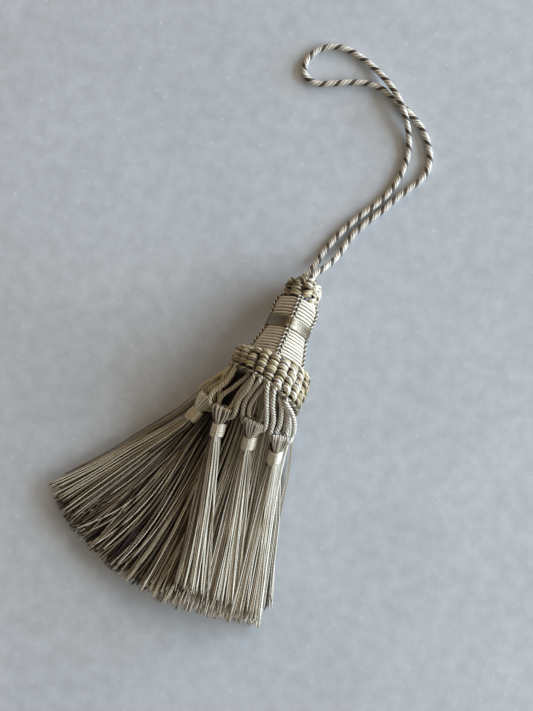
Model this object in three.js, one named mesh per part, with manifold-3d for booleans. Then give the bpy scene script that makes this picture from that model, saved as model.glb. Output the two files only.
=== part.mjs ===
// A key tassel lying on its side: a hanging cord, a knotted ruff at the top, a wrapped bottle-shaped head with a
// waist band and four braids, a larger knotted ruff, a cut fringe skirt spread into a fan, and six small tassels
// hung on doubled loops round the top of the skirt. Millimetres, +Z up, +Y from the skirt to the head. The origin
// is the middle of the flat spot on which the large ruff rests.
import * as THREE from "three";
import { mergeVertices } from "three/addons/utils/BufferGeometryUtils.js";
import Module from "manifold-3d";

const wasm = await Module();
wasm.setup();

const RAD = Math.PI / 180;
const GAP = 0.3; // clear space between touching pieces

// ---- driving dimensions -------------------------------------------------------------------------------------
const SLOPE = 12.6 * RAD; // the head's axis dips this much towards its top, so that both ruffs rest
const TURN = 1.5 * RAD; // and leans this much towards +X
const RUFF_CENTRE = new THREE.Vector3(0.1, 0.4, 14.85); // its height is less than its radius: a flat spot

const HEAD_PROFILE = [
  // radius of the wrapped head at each distance along the axis from the large ruff's centre
  { at: 1.0, radius: 10.4 },
  { at: 8.5, radius: 9.2 },
  { at: 12.0, radius: 8.3 },
  { at: 16.0, radius: 7.3 },
  { at: 19.0, radius: 6.9 },
  { at: 22.0, radius: 7.0 },
  { at: 25.5, radius: 7.35 },
  { at: 28.4, radius: 7.1 },
  { at: 30.0, radius: 6.3 },
  { at: 31.0, radius: 4.9 },
];
const HEAD_COLUMNS = 24;
const HEAD_SQUARENESS = 0.03; // the wraps run nearly straight between the braids
const BRAIDS = 4;
const BRAID_TURN = 0; // degrees from straight up to the first braid
const BRAID_WIDTH = 2.4;
const BRAID_HEIGHT = 1.0;
const BRAID_TOP = 30;
const BRAID_FOOT = 0.4; // how far above the large ruff a braid starts
const BAND = { from: 17.3, to: 21.5, thickness: 0.45, overBraid: 0.75 };

// The large ruff is deeper on its +X side; both edges are given halfway up, with what they move by to each side.
const RUFF = { lower: -5.0, upper: 4.9, lowerSkew: -4.0, upperSkew: -0.8, inner: 11.9, outer: 15.25, columns: 32 };
const TOP_RUFF = { from: 31.5, to: 39.4, outer: 7.5, mouth: 3.0, mouthDepth: 1.6, columns: 20 };

const CORD = { diameter: 2.3, sides: 8, steps: 62 };
const LOOP = {
  diameter: 1.9,
  sides: 5,
  steps: 16,
  outerRing: 14.3, // how far from the axis the outer and the inner loops leave the ruff
  innerRing: 12.05,
  foot: 0.6, // how far below the ruff they start
  footLength: 1.0, // and how far they run straight down from it
  room: 0.6, // how much larger than a loop the hole cut for it is, all round
};

const SKIRT = {
  top: 0.7, // inside the ruff, just below the head
  neckRadius: 10.8,
  reach: 92, // from the ruff's centre to the cut ends
  left: 42, // degrees from -Y to the fan's left end
  right: -18.5,
  crowding: 2.3, // the strands crowd to the right and open out to the left
  edgeHeight: 1.6,
  crownHeight: 7.4,
  fall: 0.2, // share of the length over which the strands drop from the ruff
  bulge: 2.4, // they swell out by this just below the ruff on the +X side
  bulgeAt: 0.1,
  columns: 40,
  notch: 3.5, // depth of the comb's notches
};
const SKIRT_ROWS = [0, 0.05, 0.11, 0.18, 0.28, 0.42, 0.66, 1];

// Each small tassel on top: where its ridge lies in plan, the way its head and its strands point (degrees from -Y
// towards +X), how far it stands off the skirt and how wide it is. Its two loops, one inside the other, each leave
// the ruff at one angle (degrees from straight up towards +X), pass the points given, go through the small
// tassel's head and come back up to the other angle.
const MINIS = [
  {
    name: "1", x: -11.1, y: -15.6, head: 4.5, strands: 11, raise: 1.4, width: 1,
    outer: {
      left: -57, down: [[-13.6, -7.6, 20.2], [-16.4, -12.0, 18.4], [-16.9, -15.0, 17.8]],
      right: -19, up: [[-6.7, -17.0, 18.6], [-6.7, -11.8, 20.8], [-5.2, -6.8, 26.2]],
    },
    inner: {
      left: -33, down: [[-10.2, -8.0, 18.8], [-13.2, -12.6, 16.8]],
      right: -24, up: [[-8.3, -13.0, 17.4], [-7.4, -8.6, 20.2]],
    },
  },
  {
    name: "2", x: 1.0, y: -16.0, head: 4.5, strands: 11, raise: 0, width: 1,
    outer: {
      left: -9, down: [[-3.8, -8.0, 22.6], [-4.5, -13.0, 19.2]],
      right: 3.5, up: [[5.3, -16.8, 20.2], [4.2, -13.0, 22.6], [2.5, -8.6, 27.0]],
    },
    inner: {
      left: 0, down: [[-1.5, -8.0, 23.2], [-2.3, -13.0, 19.7]],
      right: 13.5, up: [[3.1, -13.0, 20.4], [3.3, -9.0, 23.6], [3.2, -6.8, 25.7]],
    },
  },
  {
    name: "3", x: 11.5, y: -17.6, head: 5, strands: 10, raise: 0.4, width: 0.82,
    outer: {
      left: 15, down: [[5.2, -9.6, 25.3], [7.2, -14.0, 20.9]],
      right: 38, up: [[15.7, -17.6, 14.8], [15.0, -13.6, 18.4], [12.5, -9.6, 23.6]],
    },
    inner: {
      left: 33, down: [[7.7, -7.8, 24.8], [8.7, -10.2, 22.8], [9.9, -14.6, 19.4]],
      right: 44, up: [[12.5, -14.4, 18.0], [11.0, -10.0, 21.6]],
    },
  },
  {
    name: "4", x: -17.3, y: -14.4, head: -22.5, strands: -36, raise: 0, width: 1,
    outer: {
      left: -96, down: [[-18.0, -7.6, 13.8], [-21.4, -12.2, 12.2]],
      right: -72, up: [[-13.4, -15.6, 14.2], [-14.3, -12.2, 15.0], [-15.0, -7.4, 17.0]],
    },
    inner: {
      left: -92, down: [[-15.7, -8.2, 14.1], [-18.3, -11.4, 13.1]],
      right: -76, up: [[-16.0, -11.6, 13.2], [-13.4, -8.2, 14.8]],
    },
  },
];
// The two small tassels below the skirt lie on the surface, along the line given.
const UNDER_MINIS = [
  {
    name: "5",
    line: [[9.6, -15.2, 3.0], [11.2, -21.6, 2.8], [12.6, -27.0, 2.8], [14.8, -34.2, 1.2], [18.2, -47.0, 1.1],
      [25.0, -82.8, 1.1]],
    outer: { left: 153, down: [[5.1, -14.6, 3.2]], right: 112, up: [[15.0, -14.8, 6.2]] },
    inner: { left: 141, down: [[7.6, -13.9, 4.4]], right: 118, up: [[11.9, -14.4, 4.8]] },
  },
  {
    name: "6",
    line: [[-9.2, -13.6, 3.0], [-11.8, -19.6, 2.8], [-14.0, -24.8, 2.8], [-18.0, -31.6, 1.2],
      [-26.5, -43.0, 1.1], [-51.4, -71.4, 1.1]],
    outer: {
      left: -112, down: [[-14.4, -9.0, 6.0], [-14.2, -13.6, 3.2]],
      right: -153, up: [[-4.9, -14.2, 3.0], [-5.2, -10.4, 3.0]],
    },
    inner: { left: -118, down: [[-11.9, -9.4, 5.2]], right: -139, up: [[-7.6, -10.4, 4.6]] },
  },
];
const BUNDLE = [
  // a small tassel's half width and half thickness at each distance from its ridge, and its height above the skirt
  { at: 0, wide: 3.1, thick: 1.6, lift: 2.3 },
  { at: 1.6, wide: 3.9, thick: 2.2, lift: 2.5 },
  { at: 4.2, wide: 3.3, thick: 2.2, lift: 2.8 },
  { at: 6.0, wide: 1.85, thick: 1.85, lift: 3.0 },
  { at: 12.2, wide: 1.85, thick: 1.85, lift: 3.0 },
  { at: 13.0, wide: 2.4, thick: 1.9, lift: 2.8 },
  { at: 20, wide: 3.0, thick: 1.5, lift: 1.9 },
  { at: 36, wide: 4.2, thick: 1.2, lift: 1.4 },
  { at: 69, wide: 5.4, thick: 1.0, lift: 1.2 },
];
const BUNDLE_CORNERS = 8;
const BUNDLE_NOTCH = 1.6; // depth of the notches in its comb
const COLLAR = { from: 6.4, to: 11.9, inner: 2.25, outer: 2.58, sides: 10 };
// where the two loops turn inside a small tassel's head: how far below its ridge at each side and in the middle
const EYES = {
  inner: { left: 0.3, middle: 2.1, right: 0.3, half: 2.1 },
  outer: { left: 2.0, middle: 4.4, right: 2.8, half: 4.0 },
};
// room left in the skirt for a small tassel below it, its loops and its collar
const POCKET = [
  { at: -9, wide: 7.4, thick: 3.1 },
  { at: 4, wide: 6.4, thick: 3.1 },
  { at: 6.3, wide: 3.4, thick: 3.4 },
  { at: 14, wide: 3.3, thick: 3.3 },
  { at: 20, wide: 3.5, thick: 1.9 },
  { at: 36, wide: 4.7, thick: 1.6 },
  { at: 69.4, wide: 5.9, thick: 1.5 },
];

// The hanging cord, from the top ruff out along the surface, round and back.
const CORD_ROUTE = [
  [0.0, 38.0, 5.2], [0.6, 41.6, 4.2], [1.9, 46.2, 2.3], [3.4, 52.4, 1.3], [6.3, 60.2, 1.2], [9.3, 66.0, 1.2],
  [12.6, 71.2, 1.2], [15.9, 76.2, 1.2], [18.5, 81.6, 1.2], [20.0, 87.4, 1.2], [20.4, 93.0, 1.2],
  [19.7, 99.0, 1.3], [17.6, 104.4, 2.0], [14.2, 110.0, 3.3], [10.0, 114.8, 3.95], [5.0, 119.0, 3.3],
  [-0.4, 122.4, 2.0], [-6.6, 125.2, 1.3], [-13.4, 126.9, 1.2], [-19.8, 126.6, 1.2], [-25.2, 123.6, 1.2],
  [-28.3, 118.2, 1.2], [-27.6, 112.9, 1.2], [-23.0, 110.7, 1.2], [-16.6, 112.7, 1.2], [-10.2, 115.6, 1.2],
  [-4.0, 117.5, 1.2], [2.6, 117.4, 1.2], [9.6, 114.9, 1.2], [16.0, 112.0, 1.2], [21.8, 108.4, 1.2],
  [26.2, 103.2, 1.2], [28.8, 97.4, 1.2], [28.5, 91.2, 1.2], [25.2, 85.6, 1.2], [21.4, 79.6, 1.2],
  [18.2, 73.6, 1.2], [15.0, 68.8, 1.2], [12.2, 63.8, 1.2], [10.3, 58.8, 1.3], [9.0, 53.4, 2.0],
  [7.2, 48.6, 3.6], [4.8, 44.6, 5.4], [2.7, 41.4, 6.7], [1.8, 38.2, 7.4],
];

const COLOURS = {
  cream: 0xe9e2cf, wrap: 0xe4dcc8, olive: 0x8a7d55, ruff: 0xc9bc98, strand: 0xb9ab8d, collar: 0xe6dfc8,
};

// ---- shapes -------------------------------------------------------------------------------------------------
const POSE = new THREE.Euler(-SLOPE, 0, -TURN, "ZXY");
const X = new THREE.Vector3(1, 0, 0).applyEuler(POSE);
const AXIS = new THREE.Vector3(0, 1, 0).applyEuler(POSE); // towards the head's top
const RAISE = new THREE.Vector3(0, 0, 1).applyEuler(POSE); // square to the axis, away from the surface

/** A point beside the head's axis; angle is in degrees from straight up, towards +X. */
function beside(at, angle, radius) {
  return RUFF_CENTRE.clone()
    .addScaledVector(AXIS, at)
    .addScaledVector(X, radius * Math.sin(angle * RAD))
    .addScaledVector(RAISE, radius * Math.cos(angle * RAD));
}

/** Where the large ruff's lower and upper edges lie along the axis, at an angle round it. */
function ruffLower(angle) {
  return RUFF.lower + RUFF.lowerSkew * Math.sin(angle * RAD);
}

function ruffUpper(angle) {
  return RUFF.upper + RUFF.upperSkew * Math.sin(angle * RAD);
}

/** A closed geometry through rings that have the same number of points, with its two ends capped. */
function loft(rings) {
  const count = rings[0].length;
  const points = rings.flat();
  const index = [];
  for (let r = 0; r + 1 < rings.length; r++) {
    for (let i = 0; i < count; i++) {
      const [a, b] = [r * count + i, r * count + ((i + 1) % count)];
      index.push(a, b, b + count, a, b + count, a + count);
    }
  }
  for (const [ring, first, flip] of [[rings[0], 0, true], [rings.at(-1), (rings.length - 1) * count, false]]) {
    const middle = points.length;
    points.push(ring.reduce((sum, p) => sum.add(p), new THREE.Vector3()).divideScalar(count));
    for (let i = 0; i < count; i++) {
      const [a, b] = [first + i, first + ((i + 1) % count)];
      index.push(...(flip ? [b, a, middle] : [a, b, middle]));
    }
  }
  return turnedOut(new THREE.BufferGeometry().setFromPoints(points).setIndex(index));
}

/** A closed ring-shaped geometry through sections that follow one another right round. */
function hoop(sections) {
  const count = sections[0].length;
  const index = [];
  sections.forEach((_, s) => {
    const next = (s + 1) % sections.length;
    for (let i = 0; i < count; i++) {
      const j = (i + 1) % count;
      index.push(s * count + i, next * count + i, next * count + j);
      index.push(s * count + i, next * count + j, s * count + j);
    }
  });
  return turnedOut(new THREE.BufferGeometry().setFromPoints(sections.flat()).setIndex(index));
}

/** The geometry with its faces pointing out. */
function turnedOut(geometry) {
  if (solidOf(geometry).volume() > 0) return geometry;
  const index = Array.from(geometry.index.array);
  for (let i = 0; i < index.length; i += 3) [index[i + 1], index[i + 2]] = [index[i + 2], index[i + 1]];
  return geometry.setIndex(index);
}

function solidOf(geometry) {
  const bare = new THREE.BufferGeometry().setAttribute("position", geometry.getAttribute("position"));
  if (geometry.index) bare.setIndex(geometry.index);
  const merged = mergeVertices(bare, 1e-3);
  return new wasm.Manifold(
    new wasm.Mesh({
      numProp: 3,
      vertProperties: merged.attributes.position.array,
      triVerts: new Uint32Array(merged.index.array),
    }),
  );
}

function geometryOf(solid) {
  const mesh = solid.getMesh();
  return new THREE.BufferGeometry()
    .setAttribute("position", new THREE.BufferAttribute(mesh.vertProperties, 3))
    .setIndex(new THREE.BufferAttribute(mesh.triVerts, 1));
}

function bare(geometry) {
  return new THREE.BufferGeometry().setAttribute("position", geometry.getAttribute("position"));
}

function tube(curve, radius, sides, steps) {
  const corners = Array.from({ length: sides }, (_, i) => {
    const turn = (2 * Math.PI * i) / sides;
    return new THREE.Vector2(radius * Math.cos(turn), radius * Math.sin(turn));
  });
  return new THREE.ExtrudeGeometry(new THREE.Shape(corners), {
    steps,
    extrudePath: curve,
    bevelEnabled: false,
  });
}

function curveThrough(points) {
  return new THREE.CatmullRomCurve3(points, false, "centripetal");
}

/** Presses what would lie below the surface flat against it; the geometry is in the head's own frame. */
function pressedFlat(geometry) {
  const place = geometry.getAttribute("position");
  for (let i = 0; i < place.count; i++) {
    const lowest = (place.getY(i) * Math.sin(SLOPE) - RUFF_CENTRE.z) / Math.cos(SLOPE);
    place.setZ(i, Math.max(place.getZ(i), lowest));
  }
  return geometry;
}

function valueAt(table, at, column) {
  const next = Math.max(1, table.findIndex((row) => row.at >= at));
  const [a, b] = [table[next - 1], table[next]];
  return THREE.MathUtils.lerp(a[column], b[column], (at - a.at) / (b.at - a.at));
}

// ---- the head, in its own frame: Y along the axis, Z up, angles from +Z towards +X ------------------------------
function headRadius(at, angle) {
  const square = 1 + HEAD_SQUARENESS * Math.cos(BRAIDS * (angle - BRAID_TURN * RAD));
  return valueAt(HEAD_PROFILE, at, "radius") * square;
}

function round(radius, angle, at) {
  return new THREE.Vector3(radius * Math.sin(angle), at, radius * Math.cos(angle));
}

function headAngles() {
  return Array.from({ length: HEAD_COLUMNS }, (_, i) => BRAID_TURN * RAD + (2 * Math.PI * i) / HEAD_COLUMNS);
}

function head() {
  const ring = ({ at }) => headAngles().map((angle) => round(headRadius(at, angle), angle, at));
  return loft(HEAD_PROFILE.map(ring));
}

/** The waist band: a wrap of fine floss over the middle of the head, standing up a little over each braid. */
function waistBand() {
  const middle = (BAND.from + BAND.to) / 2;
  return hoop(headAngles().map((angle, i) => {
    const over = i % (HEAD_COLUMNS / BRAIDS) ? 0 : BAND.overBraid;
    const inner = (at) => headRadius(at, angle) + GAP;
    const outer = inner(middle) + BAND.thickness + over;
    return [
      [inner(BAND.from), BAND.from], [outer - 0.1, BAND.from], [outer, BAND.from + 0.6], [outer, BAND.to - 0.6],
      [outer - 0.1, BAND.to], [inner(BAND.to), BAND.to], [inner(middle), middle],
    ].map(([radius, at]) => round(radius, angle, at));
  }));
}

/** One braid lying along the head from one distance to another, its rounded section following the surface. */
function braid(number, from, to) {
  const middle = BRAID_TURN * RAD + (2 * Math.PI * number) / BRAIDS;
  const closest = 0.6; // no row nearer to an end than this
  const inside = HEAD_PROFILE.map((row) => row.at).filter((at) => at > from + closest && at < to - closest);
  const half = BRAID_WIDTH / 2;
  const section = [[-1, 0.15], [-0.55, 0.9], [0, 1], [0.55, 0.9], [1, 0.15], [0, 0]];
  return loft([from, ...inside, to].map((at) => {
    const base = headRadius(at, middle) + GAP;
    return section.map(([side, up]) => round(base + up * BRAID_HEIGHT, middle + (side * half) / base, at));
  }));
}

/** The large ruff: a padded ring whose lower edge drops on its +X side. */
function ruff() {
  const bulge = [[0, 0.55], [0.1, 0.84], [0.36, 1], [0.64, 1], [0.9, 0.84], [1, 0.55]];
  const sections = Array.from({ length: RUFF.columns }, (_, i) => {
    const angle = (360 * i) / RUFF.columns;
    const [lower, upper] = [ruffLower(angle), ruffUpper(angle)];
    const outside = bulge.map(([share, out]) => [
      THREE.MathUtils.lerp(RUFF.inner, RUFF.outer, out), THREE.MathUtils.lerp(lower, upper, share),
    ]);
    const inside = [[headRadius(upper, 0) + GAP, upper], [RUFF.inner, HEAD_PROFILE[0].at], [RUFF.inner, lower]];
    return [...outside, ...inside].map(([radius, at]) => round(radius, angle * RAD, at));
  });
  return pressedFlat(hoop(sections));
}

function topRuff() {
  const { from, to, outer, mouth, mouthDepth } = TOP_RUFF;
  const long = to - from;
  const profile = [
    [0, from], [5.6, from], [outer * 0.94, from + 0.14 * long], [outer, from + 0.38 * long],
    [outer * 0.97, from + 0.6 * long], [outer * 0.83, from + 0.85 * long], [outer * 0.62, to],
    [mouth + 0.3, to - 0.15], [mouth, to - mouthDepth], [0, to - mouthDepth],
  ].map(([radius, at]) => new THREE.Vector2(radius, at));
  return pressedFlat(turnedOut(lathe(profile, TOP_RUFF.columns)));
}

function lathe(profile, columns) {
  const turned = new THREE.LatheGeometry(profile, columns);
  turned.deleteAttribute("normal");
  turned.deleteAttribute("uv");
  return turnedOut(mergeVertices(turned, 1e-3));
}

// ---- the skirt ----------------------------------------------------------------------------------------------
/** The fan's angle, in degrees from -Y towards -X, at a share of the way from its left edge to its right edge. */
function fanAngle(share) {
  return SKIRT.right + (SKIRT.left - SKIRT.right) * (1 - share) ** SKIRT.crowding;
}

/** A point of the skirt's surface, a share of the way down the strand that leaves the ruff at this angle. */
function skirtPoint(angle, share) {
  const upper = Math.cos(angle * RAD) > 0;
  const across = upper ? (angle + 90) / 180 : (270 - ((angle + 360) % 360)) / 180;
  const start = beside(ruffLower(angle) - 0.5, angle, SKIRT.neckRadius);
  const inset = upper ? 0 : 1.5 * (1 - 2 * across);
  const fan = (fanAngle(across) - inset) * RAD;
  const reach = SKIRT.reach - (upper ? 3 * Math.sin(Math.PI * across) : 0);
  const end = new THREE.Vector3(-reach * Math.sin(fan), -reach * Math.cos(fan), 0);
  const place = start.clone().lerp(end, share);
  const swell = (share / SKIRT.bulgeAt) * Math.exp(1 - share / SKIRT.bulgeAt);
  place.x += SKIRT.bulge * Math.max(0, Math.sin(angle * RAD)) * swell;
  if (upper) {
    const crown = Math.sin(Math.PI * across ** 0.8) ** 0.8;
    const low = SKIRT.edgeHeight + (SKIRT.crownHeight - SKIRT.edgeHeight) * crown;
    place.z = low + (start.z - low) * Math.exp(-((share / SKIRT.fall) ** 1.2));
  } else {
    place.z = share >= 0.28 ? 0 : start.z * (1 - share / 0.28) ** 1.5;
  }
  return place;
}

function skirtRings() {
  const angles = Array.from({ length: SKIRT.columns }, (_, i) => -90 + ((i + 0.5) * 360) / SKIRT.columns);
  const rows = SKIRT_ROWS.map((share) =>
    angles.map((angle, i) => skirtPoint(angle, share === 1 && i % 2 ? 1 - SKIRT.notch / SKIRT.reach : share)));
  return [angles.map((angle) => beside(SKIRT.top, angle, SKIRT.neckRadius)), ...rows];
}

/** The height of the skirt's upper surface above a point of the plan. */
function skirtTop(x, y) {
  let [low, high] = [0, 1];
  let found = 0;
  for (let i = 0; i < 40; i++) {
    const across = (low + high) / 2;
    const angle = -90 + 180 * across;
    const [start, end] = [skirtPoint(angle, 0), skirtPoint(angle, 1)];
    const place = skirtPoint(angle, THREE.MathUtils.clamp((y - start.y) / (end.y - start.y), 0, 1));
    found = place.z;
    if (place.x < x) low = across;
    else high = across;
  }
  return found;
}

// ---- the small tassels ----------------------------------------------------------------------------------------
/** A small tassel's line over the skirt: at each of BUNDLE's rows a point and the way the surface there faces. */
function lineOver(mini) {
  const reach = 2.5; // the slope is taken this far to each side
  const follow = 0.6; // and followed this much across the line
  let [x, y] = [mini.x, mini.y];
  let last = 0;
  return BUNDLE.map((row) => {
    const turn = (row.at <= COLLAR.to + 1.2 ? mini.head : mini.strands) * RAD;
    x += (row.at - last) * Math.sin(turn);
    y -= (row.at - last) * Math.cos(turn);
    last = row.at;
    const slope = (skirtTop(x - reach, y) - skirtTop(x + reach, y)) * follow;
    const rise = skirtTop(x, y - reach) - skirtTop(x, y + reach);
    const face = new THREE.Vector3(slope, rise, 2 * reach).normalize();
    const height = skirtTop(x, y) + (GAP + row.lift + mini.raise) / face.z;
    return { place: new THREE.Vector3(x, y, height), face };
  });
}

function lineUnder(mini) {
  const curve = curveThrough(mini.line.map((p) => new THREE.Vector3(...p)));
  const face = new THREE.Vector3(0, 0, 1);
  return BUNDLE.map((row) => ({ place: curve.getPointAt(row.at / BUNDLE.at(-1).at), face }));
}

/** The line with the directions along it, across it and out of it at each point. */
function framesOf(line) {
  return line.map(({ place, face }, i) => {
    const next = line[Math.min(i + 1, line.length - 1)].place;
    const along = next.clone().sub(line[Math.max(i - 1, 0)].place).normalize();
    const across = new THREE.Vector3().crossVectors(face, along).normalize();
    return { place, along, across, out: new THREE.Vector3().crossVectors(along, across) };
  });
}

/** A place on a small tassel's line, also a little beyond its two ends. */
function placeAt(frames, at) {
  const next = THREE.MathUtils.clamp(BUNDLE.filter((row) => row.at < at).length, 1, BUNDLE.length - 1);
  const share = (at - BUNDLE[next - 1].at) / (BUNDLE[next].at - BUNDLE[next - 1].at);
  return { ...frames[next - 1], place: frames[next - 1].place.clone().lerp(frames[next].place, share) };
}

function oval({ place, along, across, out }, corners, wide, thick, lowest) {
  return Array.from({ length: corners }, (_, i) => {
    const turn = (2 * Math.PI * (i + 0.5)) / corners;
    const point = place.clone()
      .addScaledVector(across, wide * Math.cos(turn))
      .addScaledVector(out, thick * Math.sin(turn));
    point.z = Math.max(point.z, lowest);
    return point;
  });
}

/** The tuft, neck and strands of a small tassel, ending in a comb. */
function bundle(frames, width = 1) {
  const rings = frames.map((frame, r) => oval(frame, BUNDLE_CORNERS, BUNDLE[r].wide * width, BUNDLE[r].thick, 0));
  rings.at(-1).forEach((point, i) => point.addScaledVector(frames.at(-1).along, i % 2 ? -BUNDLE_NOTCH : 0));
  return loft(rings);
}

/** What is cut out of the skirt's underside for a small tassel below it. */
function pocket(frames) {
  const below = -1; // it opens through the surface
  return loft(POCKET.map(({ at, wide, thick }) => {
    const frame = placeAt(frames, at);
    const ring = oval(frame, BUNDLE_CORNERS, wide, thick, below);
    ring.forEach((point) => {
      if (point.z < frame.place.z) point.z = below;
    });
    return ring;
  }));
}

/** One loop: out of the ruff, down to the small tassel, through its head and back up. */
function loopCurve(frames, route, ring, eye, width = 1) {
  const foot = (angle) =>
    [LOOP.foot, LOOP.foot + LOOP.footLength].map((below) => beside(ruffLower(angle) - below, angle, ring));
  const corner = (below, side) => {
    const { place, across } = placeAt(frames, below);
    return place.clone().addScaledVector(across, side);
  };
  return curveThrough([
    ...foot(route.left),
    ...route.down.map((p) => new THREE.Vector3(...p)),
    corner(eye.left, -eye.half * width),
    corner(eye.middle, 0),
    corner(eye.right, eye.half * width),
    ...route.up.map((p) => new THREE.Vector3(...p)),
    ...foot(route.right).reverse(),
  ]);
}

function collar(frames) {
  const [from, to] = [placeAt(frames, COLLAR.from).place, placeAt(frames, COLLAR.to).place];
  const long = to.distanceTo(from);
  const profile = [
    [COLLAR.inner, 0], [COLLAR.outer, 0.06], [COLLAR.outer, 0.94], [COLLAR.inner, 1], [COLLAR.inner, 0],
  ].map(([radius, share]) => new THREE.Vector2(radius, share * long));
  const way = to.clone().sub(from).normalize();
  const turn = new THREE.Quaternion().setFromUnitVectors(new THREE.Vector3(0, 1, 0), way);
  const place = new THREE.Matrix4().compose(from, turn, new THREE.Vector3(1, 1, 1));
  return lathe(profile, COLLAR.sides).applyMatrix4(place);
}

// ---- the scene graph ------------------------------------------------------------------------------------------
const material = (color, roughness = 0.55) =>
  new THREE.MeshStandardMaterial({ color, roughness, metalness: 0 });
const MATERIALS = {
  cord: material(COLOURS.cream), wrap: material(COLOURS.wrap), band: material(COLOURS.olive, 0.4),
  braid: material(COLOURS.olive), ruff: material(COLOURS.ruff), strand: material(COLOURS.strand),
  collar: material(COLOURS.collar, 0.4),
};

function piece(name, geometry, look) {
  const mesh = new THREE.Mesh(geometry, look);
  mesh.name = name;
  return mesh;
}

const tassel = new THREE.Group();
const headGroup = new THREE.Group();
headGroup.position.copy(RUFF_CENTRE);
headGroup.rotation.copy(POSE);
tassel.add(headGroup);

headGroup.add(piece("head", head(), MATERIALS.wrap));
headGroup.add(piece("waist_band", waistBand(), MATERIALS.band));
for (let i = 0; i < BRAIDS; i++) {
  const foot = ruffUpper((360 * i) / BRAIDS) + BRAID_FOOT;
  headGroup.add(piece(`braid_lower_${i + 1}`, braid(i, foot, BAND.from - GAP), MATERIALS.braid));
  headGroup.add(piece(`braid_upper_${i + 1}`, braid(i, BAND.to + GAP, BRAID_TOP), MATERIALS.braid));
}
headGroup.add(piece("ruff", ruff(), MATERIALS.ruff));
headGroup.add(piece("top_ruff", topRuff(), MATERIALS.ruff));

const cordCurve = curveThrough(CORD_ROUTE.map((p) => new THREE.Vector3(...p)));
tassel.add(piece("cord", tube(cordCurve, CORD.diameter / 2, CORD.sides, CORD.steps), MATERIALS.cord));

let skirt = solidOf(loft(skirtRings()));
for (const mini of [...MINIS, ...UNDER_MINIS]) {
  const under = mini.line !== undefined;
  const frames = framesOf(under ? lineUnder(mini) : lineOver(mini));
  let body = solidOf(bundle(frames, mini.width));
  if (under) skirt = skirt.subtract(solidOf(pocket(frames)));
  const curves = {
    a: loopCurve(frames, mini.outer, LOOP.outerRing, EYES.outer, mini.width),
    b: loopCurve(frames, mini.inner, LOOP.innerRing, EYES.inner, mini.width),
  };
  for (const [letter, curve] of Object.entries(curves)) {
    const hole = solidOf(bare(tube(curve, LOOP.diameter / 2 + LOOP.room, LOOP.sides, LOOP.steps)));
    body = body.subtract(hole);
    skirt = skirt.subtract(hole);
    const cord = tube(curve, LOOP.diameter / 2, LOOP.sides, LOOP.steps);
    tassel.add(piece(`small_loop_${mini.name}${letter}`, cord, MATERIALS.cord));
  }
  tassel.add(piece(`small_tassel_${mini.name}`, geometryOf(body), MATERIALS.strand));
  tassel.add(piece(`small_collar_${mini.name}`, collar(frames), MATERIALS.collar));
}
tassel.add(piece("skirt", geometryOf(skirt), MATERIALS.strand));

export default tassel;
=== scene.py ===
"""A key tassel lying on its side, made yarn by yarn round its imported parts."""

import math

import bpy
import numpy as np
from mathutils import Matrix, Vector


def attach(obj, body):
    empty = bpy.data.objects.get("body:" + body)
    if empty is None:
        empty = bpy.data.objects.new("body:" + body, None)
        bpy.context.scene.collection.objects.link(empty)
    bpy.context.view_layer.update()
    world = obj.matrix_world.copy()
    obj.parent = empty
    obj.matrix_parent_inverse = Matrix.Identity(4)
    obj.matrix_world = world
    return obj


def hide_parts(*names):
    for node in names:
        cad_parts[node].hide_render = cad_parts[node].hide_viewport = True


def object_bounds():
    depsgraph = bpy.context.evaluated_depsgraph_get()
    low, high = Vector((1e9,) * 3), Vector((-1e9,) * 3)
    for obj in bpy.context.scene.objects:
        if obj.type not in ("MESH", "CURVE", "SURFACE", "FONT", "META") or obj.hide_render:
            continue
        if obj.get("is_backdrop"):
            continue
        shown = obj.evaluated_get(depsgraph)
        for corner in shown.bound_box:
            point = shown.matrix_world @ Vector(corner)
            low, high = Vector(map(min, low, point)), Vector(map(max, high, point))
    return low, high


bl_info = {
    "name": "Key Tassel",
    "version": (1, 0, 0),
    "blender": (4, 5, 0),
    "location": "3D View > Sidebar > Tassel",
    "description": "Makes a key tassel of wound head, knotted ruffs, cut fringe and small tassels",
    "category": "Add Mesh",
}

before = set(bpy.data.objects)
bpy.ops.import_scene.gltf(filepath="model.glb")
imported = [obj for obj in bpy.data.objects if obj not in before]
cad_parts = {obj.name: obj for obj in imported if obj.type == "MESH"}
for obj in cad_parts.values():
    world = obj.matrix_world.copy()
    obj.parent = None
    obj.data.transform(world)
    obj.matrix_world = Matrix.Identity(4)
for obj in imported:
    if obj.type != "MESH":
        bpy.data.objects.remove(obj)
CAD_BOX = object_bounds()

MM = 0.001  # everything below is in millimetres until a mesh is made
RAD = math.pi / 180

# ---- the part's own measures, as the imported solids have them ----
SLOPE = 12.6 * RAD  # the head's axis dips towards its top, so that both ruffs rest
TURN = 1.5 * RAD
RUFF_CENTRE = np.array([0.1, 0.4, 14.85])
AXIS = np.array([
    math.cos(SLOPE) * math.sin(TURN), math.cos(SLOPE) * math.cos(TURN), -math.sin(SLOPE)
])
SIDE = np.array([math.cos(TURN), -math.sin(TURN), 0.0])
RAISE = np.cross(SIDE, AXIS)
UP = np.array([0.0, 0.0, 1.0])

HEAD_AT = np.array([1.0, 8.5, 12.0, 16.0, 19.0, 22.0, 25.5, 28.4, 30.0, 31.0])
HEAD_RADIUS = np.array([10.4, 9.2, 8.3, 7.3, 6.9, 7.0, 7.35, 7.1, 6.3, 4.9])
HEAD_SQUARENESS = 0.05  # the wraps run nearly straight from one braid to the next
BAND_FROM, BAND_TO = 17.3, 21.5
BAND_BULGE = 1.2  # how far the band stands off the wraps over a braid
BRAIDS = 4

RUFF_LOWER, RUFF_LOWER_SKEW = -5.0, -4.0
RUFF_UPPER, RUFF_UPPER_SKEW = 4.9, -0.8
RUFF_INNER, RUFF_OUTER = 11.9, 15.25

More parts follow.
